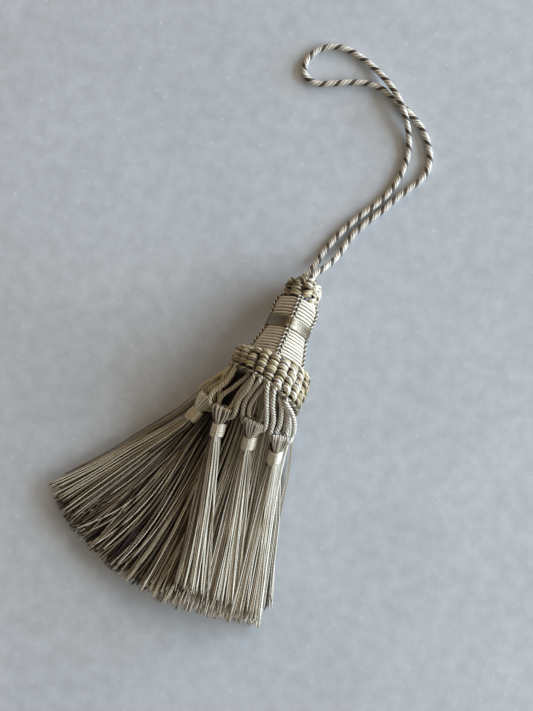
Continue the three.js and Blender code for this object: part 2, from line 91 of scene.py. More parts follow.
LOOP_OUTER, LOOP_INNER = 14.3, 12.05  # how far from the axis the small tassels' loops leave the ruff

SKIRT_NECK = 10.8
SKIRT_REACH = 92.0
SKIRT_LEFT, SKIRT_RIGHT = 42.0, -18.5  # degrees from -Y towards -X
SKIRT_CROWDING = 2.3  # the yarns crowd to the right and open out to the left
SKIRT_EDGE, SKIRT_CROWN = 1.6, 7.4
SKIRT_FALL = 0.2
SKIRT_BULGE, SKIRT_BULGE_AT = 2.4, 0.1

# Each small tassel: its ridge in plan, the way its head and its strands point, how far it stands off the
# skirt, its width, the tones of its loops and its collar, darker as painted shade where it lies in shade,
# how much its strands are lightened by painted light (darkened by painted shade where it's under 0) and how
# far they fan out, and each loop's angles round the ruff and the points it passes on its way down and up.
MINIS = (
    dict(
        name="1", x=-11.1, y=-15.6, head=4.5, strands=11, lift=1.4, width=1.0,
        loop_tone_and_shade=0.12, collar_tone_and_shade=0.1, painted_light=0.12, fan=0.55,
        outer=(-57, ((-13.6, -7.6, 20.2), (-16.4, -12.0, 18.4), (-16.9, -15.0, 17.8)),
               ((-6.7, -17.0, 18.6), (-6.7, -11.8, 20.8), (-5.2, -6.8, 26.2)), -19),
        inner=(-33, ((-10.2, -8.0, 18.8), (-13.2, -12.6, 16.8)),
               ((-8.3, -13.0, 17.4), (-7.4, -8.6, 20.2)), -24),
    ),
    dict(
        name="2", x=1.0, y=-16.0, head=4.5, strands=11, lift=0, width=1.0,
        loop_tone_and_shade=0.02, collar_tone_and_shade=0.1, painted_light=0.32, fan=0.5,
        outer=(-9, ((-3.8, -8.0, 22.6), (-4.5, -13.0, 19.2)),
               ((5.3, -16.8, 20.2), (4.2, -13.0, 22.6), (2.5, -8.6, 27.0)), 3.5),
        inner=(0, ((-1.5, -8.0, 23.2), (-2.3, -13.0, 19.7)),
               ((3.1, -13.0, 20.4), (3.3, -9.0, 23.6), (3.2, -6.8, 25.7)), 13.5),
    ),
    dict(
        name="3", x=11.5, y=-17.6, head=5, strands=10, lift=0.4, width=0.82,
        loop_tone_and_shade=0.0, collar_tone_and_shade=0.1, painted_light=0.58, fan=0.3,
        outer=(15, ((5.2, -9.6, 25.3), (7.2, -14.0, 20.9)),
               ((15.7, -17.6, 14.8), (15.0, -13.6, 18.4), (12.5, -9.6, 23.6)), 38),
        inner=(33, ((7.7, -7.8, 24.8), (8.7, -10.2, 22.8), (9.9, -14.6, 19.4)),
               ((12.5, -14.4, 18.0), (11.0, -10.0, 21.6)), 44),
    ),
    dict(
        name="4", x=-17.3, y=-14.4, head=-22.5, strands=-36, lift=0, width=1.0,
        loop_tone_and_shade=0.22, collar_tone_and_shade=0.34, painted_light=-0.2, fan=0.9,
        outer=(-96, ((-18.0, -7.6, 13.8), (-21.4, -12.2, 12.2)),
               ((-13.4, -15.6, 14.2), (-14.3, -12.2, 15.0), (-15.0, -7.4, 17.0)), -72),
        inner=(-92, ((-15.7, -8.2, 14.1), (-18.3, -11.4, 13.1)),
               ((-16.0, -11.6, 13.2), (-13.4, -8.2, 14.8)), -76),
    ),
    dict(
        name="5", width=1.0,
        loop_tone_and_shade=0.1, collar_tone_and_shade=0.1, painted_light=0.46, fan=0.3,
        line=((9.6, -15.2, 3.0), (11.2, -21.6, 2.8), (12.6, -27.0, 2.8), (14.8, -34.2, 1.2),
              (18.2, -47.0, 1.1), (25.0, -82.8, 1.1)),
        outer=(153, ((5.1, -14.6, 3.2),), ((15.0, -14.8, 6.2),), 112),
        inner=(141, ((7.6, -13.9, 4.4),), ((11.9, -14.4, 4.8),), 118),
    ),
    dict(
        name="6", width=1.0,
        loop_tone_and_shade=0.3, collar_tone_and_shade=0.3, painted_light=0, fan=0.3,
        line=((-9.2, -13.6, 3.0), (-11.8, -19.6, 2.8), (-14.0, -24.8, 2.8), (-18.0, -31.6, 1.2),
              (-26.5, -43.0, 1.1), (-51.4, -71.4, 1.1)),
        outer=(-112, ((-14.4, -9.0, 6.0), (-14.2, -13.6, 3.2)),
               ((-4.9, -14.2, 3.0), (-5.2, -10.4, 3.0)), -153),
        inner=(-118, ((-11.9, -9.4, 5.2),), ((-7.6, -10.4, 4.6),), -139),
    ),
)
# A small tassel's half width, half thickness and height above the skirt, by the distance from its ridge.
BUNDLE_AT = np.array([0, 1.6, 4.2, 6.0, 12.2, 13.0, 20, 36, 69])
BUNDLE_WIDE = np.array([3.1, 3.9, 3.3, 1.85, 1.85, 2.4, 3.0, 4.2, 5.4])
BUNDLE_THICK = np.array([1.6, 2.2, 2.2, 1.85, 1.85, 1.9, 1.5, 1.2, 1.0])
BUNDLE_LIFT = np.array([2.3, 2.5, 2.8, 3.0, 3.0, 2.8, 1.9, 1.4, 1.2])
COLLAR_FROM, COLLAR_TO = 6.4, 11.9
COLLAR_RADIUS = 2.4
GAP = 0.3
EYES = dict(outer=(2.0, 4.4, 2.8, 4.0), inner=(0.3, 2.1, 0.3, 2.1))

# The hanging cord, from the top ruff out along the surface, round and back.
CORD_ROUTE = (
    (0.0, 38.0, 5.2), (0.6, 41.6, 4.2), (1.9, 46.2, 2.3), (3.4, 52.4, 1.3), (6.3, 60.2, 1.2),
    (9.3, 66.0, 1.2), (12.6, 71.2, 1.2), (15.9, 76.2, 1.2), (18.5, 81.6, 1.2), (20.0, 87.4, 1.2),
    (20.4, 93.0, 1.2), (19.7, 99.0, 1.3), (17.6, 104.4, 2.0), (14.2, 110.0, 3.3), (10.0, 114.8, 3.95),
    (5.0, 119.0, 3.3), (-0.4, 122.4, 2.0), (-6.6, 125.2, 1.3), (-13.4, 126.9, 1.2), (-19.8, 126.6, 1.2),
    (-25.2, 123.6, 1.2), (-28.3, 118.2, 1.2), (-27.6, 112.9, 1.2), (-23.0, 110.7, 1.2), (-16.6, 112.7, 1.2),
    (-10.2, 115.6, 1.2), (-4.0, 117.5, 1.2), (2.6, 117.4, 1.2), (9.6, 114.9, 1.2), (16.0, 112.0, 1.2),
    (21.8, 108.4, 1.2), (26.2, 103.2, 1.2), (28.8, 97.4, 1.2), (28.5, 91.2, 1.2), (25.2, 85.6, 1.2),
    (21.4, 79.6, 1.2), (18.2, 73.6, 1.2), (15.0, 68.8, 1.2), (12.2, 63.8, 1.2), (10.3, 58.8, 1.3),
    (9.0, 53.4, 2.0), (7.2, 48.6, 3.6), (4.8, 44.6, 5.4), (2.7, 41.4, 6.7), (1.8, 38.2, 7.4),
)


# ---- lines in space ----
def unit(vectors):
    return vectors / np.maximum(np.linalg.norm(vectors, axis=-1, keepdims=True), 1e-9)


def stack(*parts):
    return np.stack(np.broadcast_arrays(*parts), axis=-1)


def distance_along(lines):
    steps = np.linalg.norm(np.diff(lines, axis=-2), axis=-1)
    return np.concatenate([np.zeros_like(steps[..., :1]), np.cumsum(steps, axis=-1)], axis=-1)


def read_off(wanted, at, line):
    """The points of a line, whose own points are at the distances at, at the distances wanted."""
    return np.stack([np.interp(wanted, at, line[:, k]) for k in range(3)], axis=-1)


def evenly(line, count):
    """The same line through points that are the same distance apart."""
    at = distance_along(line)
    return read_off(np.linspace(0, at[-1], count), at, line)


def curve_through(points, fine=16):
    """A centripetal Catmull-Rom curve through the points."""
    points = np.asarray(points, float)
    points = np.concatenate([[2 * points[0] - points[1]], points, [2 * points[-1] - points[-2]]])
    made = []
    for i in range(1, len(points) - 2):
        p = points[i - 1:i + 3]
        knot = np.concatenate([[0], np.cumsum(np.sqrt(np.linalg.norm(np.diff(p, axis=0), axis=1)))])
        t = np.linspace(knot[1], knot[2], fine, endpoint=False)[:, None]

        def between(a, b, from_knot, to_knot):
            share = (t - from_knot) / (to_knot - from_knot)
            return a * (1 - share) + b * share

        a1 = between(p[0], p[1], knot[0], knot[1])
        a2 = between(p[1], p[2], knot[1], knot[2])
        a3 = between(p[2], p[3], knot[2], knot[3])
        b1 = between(a1, a2, knot[0], knot[2])
        b2 = between(a2, a3, knot[1], knot[3])
        made.append(between(b1, b2, knot[1], knot[2]))
    return np.concatenate([*made, points[-2:-1]])


def carried(lines, along):
    """A direction square to each line, carried along it without twisting."""
    face = np.empty_like(lines)
    first = along[..., 0, :]
    start = np.where(np.abs(first[..., 2:3]) > 0.9, [0.0, 1.0, 0.0], UP)
    face[..., 0, :] = unit(start - (start * first).sum(-1, keepdims=True) * first)
    for i in range(1, lines.shape[-2]):
        last, way = face[..., i - 1, :], along[..., i, :]
        face[..., i, :] = unit(last - (last * way).sum(-1, keepdims=True) * way)
    return face


def plied(line, ply, pitch, radius, hand=1, steps=9):
    """The line of a ply laid round a line, one turn in each pitch, and the way out of the cord along it."""
    long = distance_along(line)[-1]
    line = evenly(line, max(8, int(steps * long / pitch)))
    along = unit(np.gradient(line, axis=0))
    face = carried(line, along)
    across = np.cross(along, face)
    angle = (hand * 2 * math.pi * distance_along(line) / pitch + 2 * math.pi * ply)[:, None]
    out = np.cos(angle) * face + np.sin(angle) * across
    return line + radius * out, out


# ---- the part's shapes ----
def beside(at, angle, radius):
    """Points beside the head's axis; the angle runs from straight up towards +X."""
    at, angle, radius = np.broadcast_arrays(*(np.asarray(v, float)[..., None] for v in (at, angle, radius)))
    return RUFF_CENTRE + at * AXIS + radius * (np.sin(angle) * SIDE + np.cos(angle) * RAISE)


def outward(angle):
    angle = np.asarray(angle, float)[..., None]
    return np.sin(angle) * SIDE + np.cos(angle) * RAISE


def head_radius(at, angle):
    square = 1 + HEAD_SQUARENESS * np.cos(BRAIDS * np.asarray(angle)) - 0.02
    return np.interp(at, HEAD_AT, HEAD_RADIUS) * square


def ruff_lower(angle):
    return RUFF_LOWER + RUFF_LOWER_SKEW * np.sin(angle)


def ruff_upper(angle):
    return RUFF_UPPER + RUFF_UPPER_SKEW * np.sin(angle)


def ruff_radius(share):
    """How far the ruff's outside is from the axis, from its lower edge (0) to its upper edge (1)."""
    out = np.interp(share, [-0.1, 0, 0.1, 0.36, 0.64, 0.9, 1, 1.1], [0.3, 0.6, 0.84, 1, 1, 0.84, 0.55, 0.2])
    return RUFF_INNER + (RUFF_OUTER - RUFF_INNER) * out


def fan_angle(across):
    return SKIRT_RIGHT + (SKIRT_LEFT - SKIRT_RIGHT) * (1 - across) ** SKIRT_CROWDING


def skirt_end(across, reach, inset=0.0):
    fan = (fan_angle(across) - inset) * RAD
    return stack(-reach * np.sin(fan), -reach * np.cos(fan), 0 * fan)


def skirt_hung(angle, end, share):
    """Where the skirt leaves the ruff, and the points from there to its cut ends, bulging towards +X."""
    start = beside(ruff_lower(angle) - 0.5, angle, SKIRT_NECK)
    place = start + (end - start) * share[..., None]
    swell = (share / SKIRT_BULGE_AT) * np.exp(1 - share / SKIRT_BULGE_AT)
    place[..., 0] += SKIRT_BULGE * np.maximum(0, np.sin(angle)) * swell
    return start, place


def skirt_top(across, share):
    """The skirt's upper side; across runs from its left to its right, share from the ruff to the cut ends."""
    across, share = np.broadcast_arrays(np.asarray(across, float), np.asarray(share, float))
    end = skirt_end(across, SKIRT_REACH - 3 * np.sin(math.pi * across))
    start, place = skirt_hung((-90 + 180 * across) * RAD, end, share)
    crown = np.clip(np.sin(math.pi * across ** 0.8), 0, 1) ** 0.8
    low = SKIRT_EDGE + (SKIRT_CROWN - SKIRT_EDGE) * crown
    place[..., 2] = low + (start[..., 2] - low) * np.exp(-((share / SKIRT_FALL) ** 1.2))
    return place


def skirt_floor(across, share):
    """The skirt's underside, which comes down to the surface."""
    across, share = np.broadcast_arrays(np.asarray(across, float), np.asarray(share, float))
    end = skirt_end(across, SKIRT_REACH, 1.5 * (1 - 2 * across))
    start, place = skirt_hung((270 - 180 * across) * RAD, end, share)
    place[..., 2] = start[..., 2] * np.clip(1 - share / 0.28, 0, 1) ** 1.5
    return place


def height_at(x, y):
    """The height of the skirt's upper side above a point of the plan."""
    low, high, found = 0.0, 1.0, 0.0
    for _ in range(40):
        across = (low + high) / 2
        start, end = skirt_top(across, 0.0), skirt_top(across, 1.0)
        place = skirt_top(across, min(max((y - start[1]) / (end[1] - start[1]), 0), 1))
        found = place[2]
        if place[0] < x:
            low = across
        else:
            high = across
    return found


class SmallTassel:
    """A small tassel's line, with the ways along it, across it and out of it."""

    def __init__(self, mini):
        self.name, self.width = mini["name"], mini["width"]
        self.mini, self.under = mini, "line" in mini
        self.loop_tone_and_shade, self.collar_tone_and_shade = mini["loop_tone_and_shade"], mini["collar_tone_and_shade"]
        self.painted_light, self.fan = mini["painted_light"], mini["fan"]
        place, face = self.line_under() if self.under else self.line_over()
        step = np.empty_like(place)
        step[1:-1] = place[2:] - place[:-2]
        step[0], step[-1] = place[1] - place[0], place[-1] - place[-2]
        self.place, self.along = place, unit(step)
        self.across = unit(np.cross(face, self.along))
        self.out = np.cross(self.along, self.across)

    def line_over(self):
        mini, reach, follow = self.mini, 2.5, 0.6
        x, y, last = mini["x"], mini["y"], 0.0
        place, face = [], []
        for at, lift in zip(BUNDLE_AT, BUNDLE_LIFT):
            turn = (mini["head"] if at <= COLLAR_TO + 1.2 else mini["strands"]) * RAD
            x, y, last = x + (at - last) * math.sin(turn), y - (at - last) * math.cos(turn), at
            slope = (height_at(x - reach, y) - height_at(x + reach, y)) * follow
            rise = height_at(x, y - reach) - height_at(x, y + reach)
            way = unit(np.array([slope, rise, 2 * reach]))
            place.append([x, y, height_at(x, y) + (GAP + lift + mini["lift"]) / way[2]])
            face.append(way)
        return np.array(place), np.array(face)

    def line_under(self):
        line = curve_through(self.mini["line"], 60)
        at = distance_along(line)
        place = read_off(at[-1] * BUNDLE_AT / BUNDLE_AT[-1], at, line)
        return place, np.tile(UP, (len(place), 1))

    def corner(self, at):
        """A place on the straight pieces between the line's points, also a little beyond its two ends."""
        k = min(max(int((BUNDLE_AT < at).sum()), 1), len(BUNDLE_AT) - 1)
        share = (at - BUNDLE_AT[k - 1]) / (BUNDLE_AT[k] - BUNDLE_AT[k - 1])
        return self.place[k - 1] + (self.place[k] - self.place[k - 1]) * share, self.across[k - 1]

    def smooth(self, at):
        """The line's point and its three ways at a distance from the ridge, with the corners eased."""
        at = np.asarray(at, float)
        soft = [-1.2, -0.6, 0, 0.6, 1.2]
        ways = []
        for table in (self.place, self.along, self.across, self.out):
            total = 0
            for shift in soft:
                place = np.clip(at + shift, 0, BUNDLE_AT[-1])
                total = total + read_off(place, BUNDLE_AT, table)
            ways.append(total / len(soft))
        inside = np.clip(at, 1.2, BUNDLE_AT[-1] - 1.2)
        beyond = (at - inside)[..., None] * (np.abs(at - inside) > 0)[..., None]
        centre = ways[0] + beyond * 0.4 * unit(ways[1])
        return centre, unit(ways[1]), unit(ways[2]), unit(ways[3])

    def spot(self, at, side, lift):
        """Points beside the line: so far across it and so far out of it."""
        centre, _, across, out = self.smooth(at)
        return centre + np.asarray(side)[..., None] * across + np.asarray(lift)[..., None] * out

    def loop(self, which):
        """One of its two loops: out of the ruff, down, through its head and back up."""
        left, down, up, right = self.mini[which]
        ring = LOOP_OUTER if which == "outer" else LOOP_INNER
        eye = EYES[which]

        def foot(degrees):
            angle = degrees * RAD
            return [beside(ruff_lower(angle) - below, angle, ring) for below in (0.6, 1.6)]

        turn = []
        for at, side in zip(eye[:3], (-eye[3] * self.width, 0, eye[3] * self.width)):
            place, across = self.corner(at)
            turn.append(place + side * across)
        return curve_through([*foot(left), *down, *turn, *up, *foot(right)[::-1]])


# ---- meshes ----
class Yarns:
    """Gathers yarns as tubes, mapped round them (0 to 1) and along them (mm), and makes one mesh of them."""

    def __init__(self):
        self.points, self.corners, self.sizes, self.maps, self.tones = [], [], [], [], []
        self.count = 0

    def add(self, lines, width, tone=0.0, sides=6, height=None, face=None, closed=False, start=0.0):
        """A yarn along each line, so wide and so high; face is the way its top looks."""
        lines = np.asarray(lines, float)
        lines = lines[None] if lines.ndim == 2 else lines
        many, long = lines.shape[:2]
        if closed:
            along = unit(np.roll(lines, -1, axis=1) - np.roll(lines, 1, axis=1))
        else:
            along = unit(np.gradient(lines, axis=1))
        if face is None:
            face = carried(lines, along)
        across = unit(np.cross(along, np.broadcast_to(face, lines.shape)))
        out = np.cross(across, along)
        half = np.broadcast_to(np.asarray(width, float), (many, long))[..., None, None] / 2
        rise = half if height is None else (
            np.broadcast_to(np.asarray(height, float), (many, long))[..., None, None] / 2)
        turn = (2 * math.pi * np.arange(sides) / sides - math.pi / 2)[:, None]
        ring = (lines[:, :, None] + half * np.cos(turn) * across[:, :, None]
                + rise * np.sin(turn) * out[:, :, None])
        self.points.append(ring.reshape(-1, 3))
        shade = np.asarray(tone, float)
        shade = shade[:, None] if shade.ndim == 1 and shade.shape[0] == many else shade
        self.tones.append(np.repeat(np.broadcast_to(shade, (many, long)).reshape(-1), sides))
        base = self.count + np.arange(many)[:, None, None] * long * sides
        rows = np.arange(long if closed else long - 1)[None, :, None]
        k = np.arange(sides)[None, None, :]
        here, there = base + rows * sides, base + ((rows + 1) % long) * sides
        nearer, further = k, (k + 1) % sides
        quads = np.stack([here + nearer, there + nearer, there + further, here + further], axis=-1)
        self.corners.append(quads.reshape(-1))
        self.sizes.append(np.full(quads.size // 4, 4))
        reach = distance_along(lines) + np.broadcast_to(np.asarray(start, float).reshape(-1, 1), (many, 1))
        if closed:
            last = np.linalg.norm(lines[:, 0] - lines[:, -1], axis=-1)[:, None]
            reach = np.concatenate([reach, reach[:, -1:] + last], axis=1)
        v0 = np.broadcast_to(reach[:, :-1, None], quads.shape[:3])
        v1 = np.broadcast_to(reach[:, 1:, None], quads.shape[:3])
        u0 = np.broadcast_to(k / sides, quads.shape[:3])
        u1 = u0 + 1 / sides
        self.maps.append(np.stack([u0, v0, u0, v1, u1, v1, u1, v0], axis=-1).reshape(-1, 2))
        if not closed:
            first = (base[..., 0] + np.arange(sides)).reshape(-1)
            last = (base[..., 0] + (long - 1) * sides + np.arange(sides)[::-1]).reshape(-1)
            self.corners += [first, last]
            self.sizes.append(np.full(2 * many, sides))
            around = np.arange(sides) / sides
            for ends, order in ((reach[:, 0], around), (reach[:, -1], around[::-1])):
                self.maps.append(stack(np.tile(order, many), np.repeat(ends, sides)))
        self.count += many * long * sides

    def mesh(self, name):
        made = bpy.data.meshes.new(name)
        points = np.concatenate(self.points) * MM
        corners, sizes = np.concatenate(self.corners), np.concatenate(self.sizes)
        made.vertices.add(len(points))
        made.vertices.foreach_set("co", points.astype(np.float32).ravel())
        made.loops.add(len(corners))
        made.loops.foreach_set("vertex_index", corners.astype(np.int32))
        made.polygons.add(len(sizes))
        starts = np.concatenate([[0], np.cumsum(sizes)[:-1]])
        made.polygons.foreach_set("loop_start", starts.astype(np.int32))
        made.polygons.foreach_set("use_smooth", sizes == 4)
        made.uv_layers.new(name="yarn").data.foreach_set(
            "uv", np.concatenate(self.maps).astype(np.float32).ravel())
        tone = made.attributes.new("tone", "FLOAT", "POINT")
        tone.data.foreach_set("value", np.concatenate(self.tones).astype(np.float32))
        made.update(calc_edges=True)
        return made

    def piece(self, name, look, nodes=()):
        """The mesh as a piece of the tassel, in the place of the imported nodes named."""
        made = bpy.data.objects.new(name, self.mesh(name))
        made.data.materials.append(look)
        bpy.context.scene.collection.objects.link(made)
        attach(made, "root")
        if nodes:
            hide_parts(*nodes)
        return made


# ---- looks ----
# A filament is about 0.02 mm wide, too fine to show, so the hairs on a yarn 0.96 mm wide are drawn as coarse
# as 0.06 mm, and those on a finer yarn are finer by as much. All sizes in mm.
HAIR_WIDE, YARN_WIDE = 0.06, 0.96
HAIR_DRAWN = 0.35  # how close the hairs follow one another along the yarn: each is about 0.36 mm long
PATCH_WIDE = 6.0  # patches of slightly lighter and darker yarn


def linear(colour):
    """An sRGB hex colour as linear red, green, blue and alpha."""
    parts = [int(colour[i:i + 2], 16) / 255 for i in (1, 3, 5)]
    return (*(c / 12.92 if c <= 0.04045 else ((c + 0.055) / 1.055) ** 2.4 for c in parts), 1.0)


def grains(size):
    """The scale of a noise whose grains are so many mm wide."""
    return 1 / (size * MM)


def node(tree, kind, links=(), **settings):
    """Adds a shader node with its settings and what goes into its sockets: a value, a socket or a node."""
    made = tree.nodes.new("ShaderNode" + kind)
    for name, value in settings.items():
        setattr(made, name, value)
    for socket, value in dict(links).items():
        if isinstance(value, bpy.types.Node):
            value = value.outputs[0]
        if isinstance(value, bpy.types.NodeSocket):
            tree.links.new(value, made.inputs[socket])
        else:
            made.inputs[socket].default_value = value
    return made


def yarn_look(name, stops, plies, pitch, groove=0.7, relief=0.1, streaks=0.3, rough=0.4, shine=0.8,
              index=1.5, sheen=0.08, under=0.3, tint="#FFFFFF"):
    """Spun or plied yarn: rounded plies with grooves between them and fine hairs lying along them.

    stops are the colours by tone, plies and pitch (mm) the lay of the twist, groove and under how dark the
    painted shade makes it between plies and where it turns away to its neighbours, relief the depth of the
    grooves in mm, and streaks how much the colour varies from hair to hair."""
    look = bpy.data.materials.new(name)
    look.use_nodes = True
    tree = look.node_tree
    tree.nodes.clear()
    tone = node(tree, "Attribute", attribute_name="tone").outputs["Fac"]
    where = node(tree, "SeparateXYZ", {0: node(tree, "UVMap", uv_map="yarn")})
    around, along = where.outputs[0], where.outputs[1]
    # the plies: ridges that turn once round the yarn in each pitch
    laid = node(tree, "Math", {0: along, 1: 1 / pitch}, operation="MULTIPLY")
    turn = node(tree, "Math", {0: around, 1: float(plies), 2: laid}, operation="MULTIPLY_ADD")
    wave = node(tree, "Math", {0: turn, 1: math.pi}, operation="MULTIPLY")
    ply = node(tree, "Math", {0: node(tree, "Math", {0: wave}, operation="SINE")}, operation="ABSOLUTE")
    # the hairs: drawn out along the yarn, without a seam where its map closes
    angle = node(tree, "Math", {0: around, 1: 2 * math.pi}, operation="MULTIPLY")
    across = node(tree, "Math", {0: angle}, operation="SINE")
    down = node(tree, "Math", {0: angle}, operation="COSINE")
    drawn = node(tree, "Math", {0: along, 1: HAIR_DRAWN}, operation="MULTIPLY")
    fibre = node(tree, "CombineXYZ", {0: across, 1: down, 2: drawn})
    hairs = node(tree, "TexNoise", {"Vector": fibre, "Scale": YARN_WIDE / 2 / HAIR_WIDE, "Detail": 2.0})
    place = node(tree, "TexCoord").outputs["Object"]
    patches = node(tree, "TexNoise", {"Vector": place, "Scale": grains(PATCH_WIDE), "Detail": 2.0})
    # how light it is: painted shade between the plies, from hair to hair, in patches, and painted shade where
    # it turns down towards its neighbours
    level = node(tree, "MapRange", {0: ply, 1: 0.0, 2: 0.55, 3: groove, 4: 1.0})
    for value, low, high, at_low, at_high in (
            (hairs, 0.3, 0.7, 1 - streaks / 2, 1 + streaks / 3), (patches, 0.3, 0.7, 0.93, 1.05),
            (down, -0.35, 0.6, 1.0, under)):
        part = node(tree, "MapRange", {0: value, 1: low, 2: high, 3: at_low, 4: at_high})
        level = node(tree, "Math", {0: level, 1: part}, operation="MULTIPLY")
    ramp = node(tree, "ValToRGB", {0: tone})
    while len(ramp.color_ramp.elements) < len(stops):
        ramp.color_ramp.elements.new(1.0)
    for element, (spot, colour) in zip(ramp.color_ramp.elements, stops):
        element.position, element.color = spot, linear(colour)
    shade = node(tree, "VectorMath", {0: ramp, 3: level}, operation="SCALE")
    lift = node(tree, "Math", {0: hairs, 1: 0.25, 2: ply}, operation="MULTIPLY_ADD")
    bump = node(tree, "Bump", {"Strength": 0.9, "Distance": relief * MM, "Height": lift})
    gloss = node(tree, "MapRange", {0: hairs, 1: 0.3, 2: 0.7, 3: rough + 0.08, 4: rough - 0.06})
    shader = node(tree, "BsdfPrincipled", {
        "Base Color": shade, "Roughness": gloss, "Normal": bump, "Specular IOR Level": shine, "IOR": index,
        "Specular Tint": linear(tint), "Sheen Weight": sheen, "Sheen Roughness": 0.4})
    node(tree, "OutputMaterial", {0: shader})
    return look


# ---- settings ----
def colour_of(name, description, default):
    return bpy.props.StringProperty(name=name, description=description, default=default, maxlen=7)


class TasselSizes(bpy.types.PropertyGroup):
    """Sizes of the tassel's yarns, cords and knots."""

    yarn: bpy.props.FloatProperty(
        name="Fringe yarn", description="Width of one cut yarn of the fringe, in mm", default=0.46, min=0.2)
    wrap: bpy.props.FloatProperty(
        name="Wrap spacing", description="Distance from one wrap of the head to the next, in mm",
        default=1.24)
    knots: bpy.props.IntProperty(
        name="Ruff knots", description="Wound knots side by side round the large ruff", default=22, min=8)
    cord_lay: bpy.props.FloatProperty(
        name="Cord lay", description="Length of one turn of the hanging cord's plies, in mm", default=5.6)
    loop_lay: bpy.props.FloatProperty(
        name="Loop lay", description="Length of one turn of the small loops' plies, in mm", default=4.0)


class TasselColours(bpy.types.PropertyGroup):
    """sRGB hex colours of the tassel's yarns."""

    cream: colour_of("Cream", "The lightest yarn", "#F1EBDE")
    ivory: colour_of("Ivory", "Slightly darker than cream", "#DBCDA8")
    beige: colour_of("Beige", "Middle yarn", "#B3A37D")
    khaki: colour_of("Khaki", "Yellow-brown middle yarn", "#897A52")
    taupe: colour_of("Taupe", "Grey-brown yarn", "#766753")
    olive: colour_of("Olive", "Dark brown-green yarn", "#514431")
    bark: colour_of("Bark", "The darkest yarn", "#2A211A")
    chalk: colour_of("Chalk", "The fringe's lightest yarn", "#F5EFDF")
    straw: colour_of("Straw", "The fringe's light yarn", "#DED4BA")
    tan: colour_of("Tan", "The fringe's middle yarn", "#AFA087")
    umber: colour_of("Umber", "The fringe's brown yarn", "#84745A")
    bronze: colour_of("Bronze", "The waist band's lighter floss", "#5A3E12")
    sepia: colour_of("Sepia", "The waist band's darker floss", "#261905")
    floor: colour_of("Floor", "The surface it lies on", "#CBD0D5")


def sizes():
    return bpy.context.scene.tassel_sizes


def colours():
    return bpy.context.scene.tassel_colours


LOOKS = {}


def look_of(kind):
    """The material of one kind of yarn, made when it's first asked for."""
    if kind in LOOKS:
        return LOOKS[kind]
    c = colours()
    at = (0.0, 0.2, 0.42, 0.6, 0.74, 0.87, 1.0)
    every = tuple(zip(at, (c.cream, c.ivory, c.beige, c.khaki, c.taupe, c.olive, c.bark)))
    cut = tuple(zip(at, (c.chalk, c.straw, c.tan, c.umber, c.taupe, c.olive, c.bark)))
    bronze = ((0.0, c.bronze), (1.0, c.sepia))
    LOOKS[kind] = {
        # Rayon spun in two plies and cut: a satin glint along each yarn, broken by a fine slanting twist.
        "fringe": lambda: yarn_look("Cut two-ply rayon yarn", cut, 2, 1.2, groove=0.62, relief=0.06,
                                    rough=0.36, shine=0.9, under=0.14),
        # Rayon strands laid hard into a cord: smooth and bright on top, with painted shade where they meet.
        "cord": lambda: yarn_look("Laid rayon cord", every, 3, 1.6, groove=0.85, relief=0.04, streaks=0.12,
                                  under=0.1),
        # Cotton twisted in plies: duller than the rest, with soft slanting ridges.
        "loop": lambda: yarn_look("Twisted cotton loop cord", every, 2, 1.3, groove=0.85, relief=0.05,
                                  shine=0.6),
        # Satin cord wound round the head, its filaments running with it: a soft glint on each turn.
        "wrap": lambda: yarn_look("Wound satin cord", every, 4, 40.0, groove=0.92, relief=0.04, streaks=0.16,
                                  shine=0.5, under=0.08),
        # Untwisted rayon floss, wound flat: close filaments with the brightest glint of all.
        "floss": lambda: yarn_look("Untwisted satin floss", every, 3, 60.0, groove=0.85, relief=0.012,
                                   streaks=0.16, rough=0.34, shine=1.0, index=1.75, under=0.5),
        # The same floss dyed bronze brown: almost black in the shade and pale where it catches the window.
        "bronze": lambda: yarn_look("Bronze satin floss", bronze, 3, 60.0, groove=0.8, relief=0.012,
                                    rough=0.3, shine=1.0, index=2.0, sheen=0.0, under=0.5, tint="#FFF3D8"),
        # Soft rayon cord wound into knots: fat round turns, satin on top, with open grooves between plies.
        "knot": lambda: yarn_look("Wound knot cord", every, 3, 2.4, streaks=0.4, rough=0.36, shine=0.9,
                                  under=0.16),
        # Fine cotton cords twisted together, one cream and one dark: a row of small light and dark beads.
        "braid": lambda: yarn_look("Two-colour cord", every, 2, 1.0, groove=0.85, relief=0.04),
    }[kind]()
    return LOOKS[kind]


# ---- the pieces ----
class TASSEL_OT_camera(bpy.types.Operator):
    """Set the camera over the tassel, turned as it is seen"""

    bl_idname = "tassel.camera"
    bl_label = "Camera"

    def execute(self, context):
        roll, tip, far = 20.5 * RAD, 88 * RAD, 400.0
        away = np.array([-math.sin(roll), math.cos(roll), 0.0])
        right = np.array([math.cos(roll), math.sin(roll), 0.0])
        back = -away * math.cos(tip) + UP * math.sin(tip)
        up = away * math.sin(tip) + UP * math.cos(tip)
        spot = (np.array([-3.5, 7.3, 0.0]) + back * far) * MM
        camera = bpy.data.objects.new("camera", bpy.data.cameras.new("camera"))
        camera.data.sensor_width = 36.0
        camera.data.lens = 53.64
        camera.data.clip_start = 0.01
        turned = Matrix([[*row] for row in np.stack([right, up, back], axis=1)]).to_4x4()
        camera.matrix_world = Matrix.Translation(Vector(spot)) @ turned
        context.scene.collection.objects.link(camera)
        context.scene.camera = camera
        return {"FINISHED"}


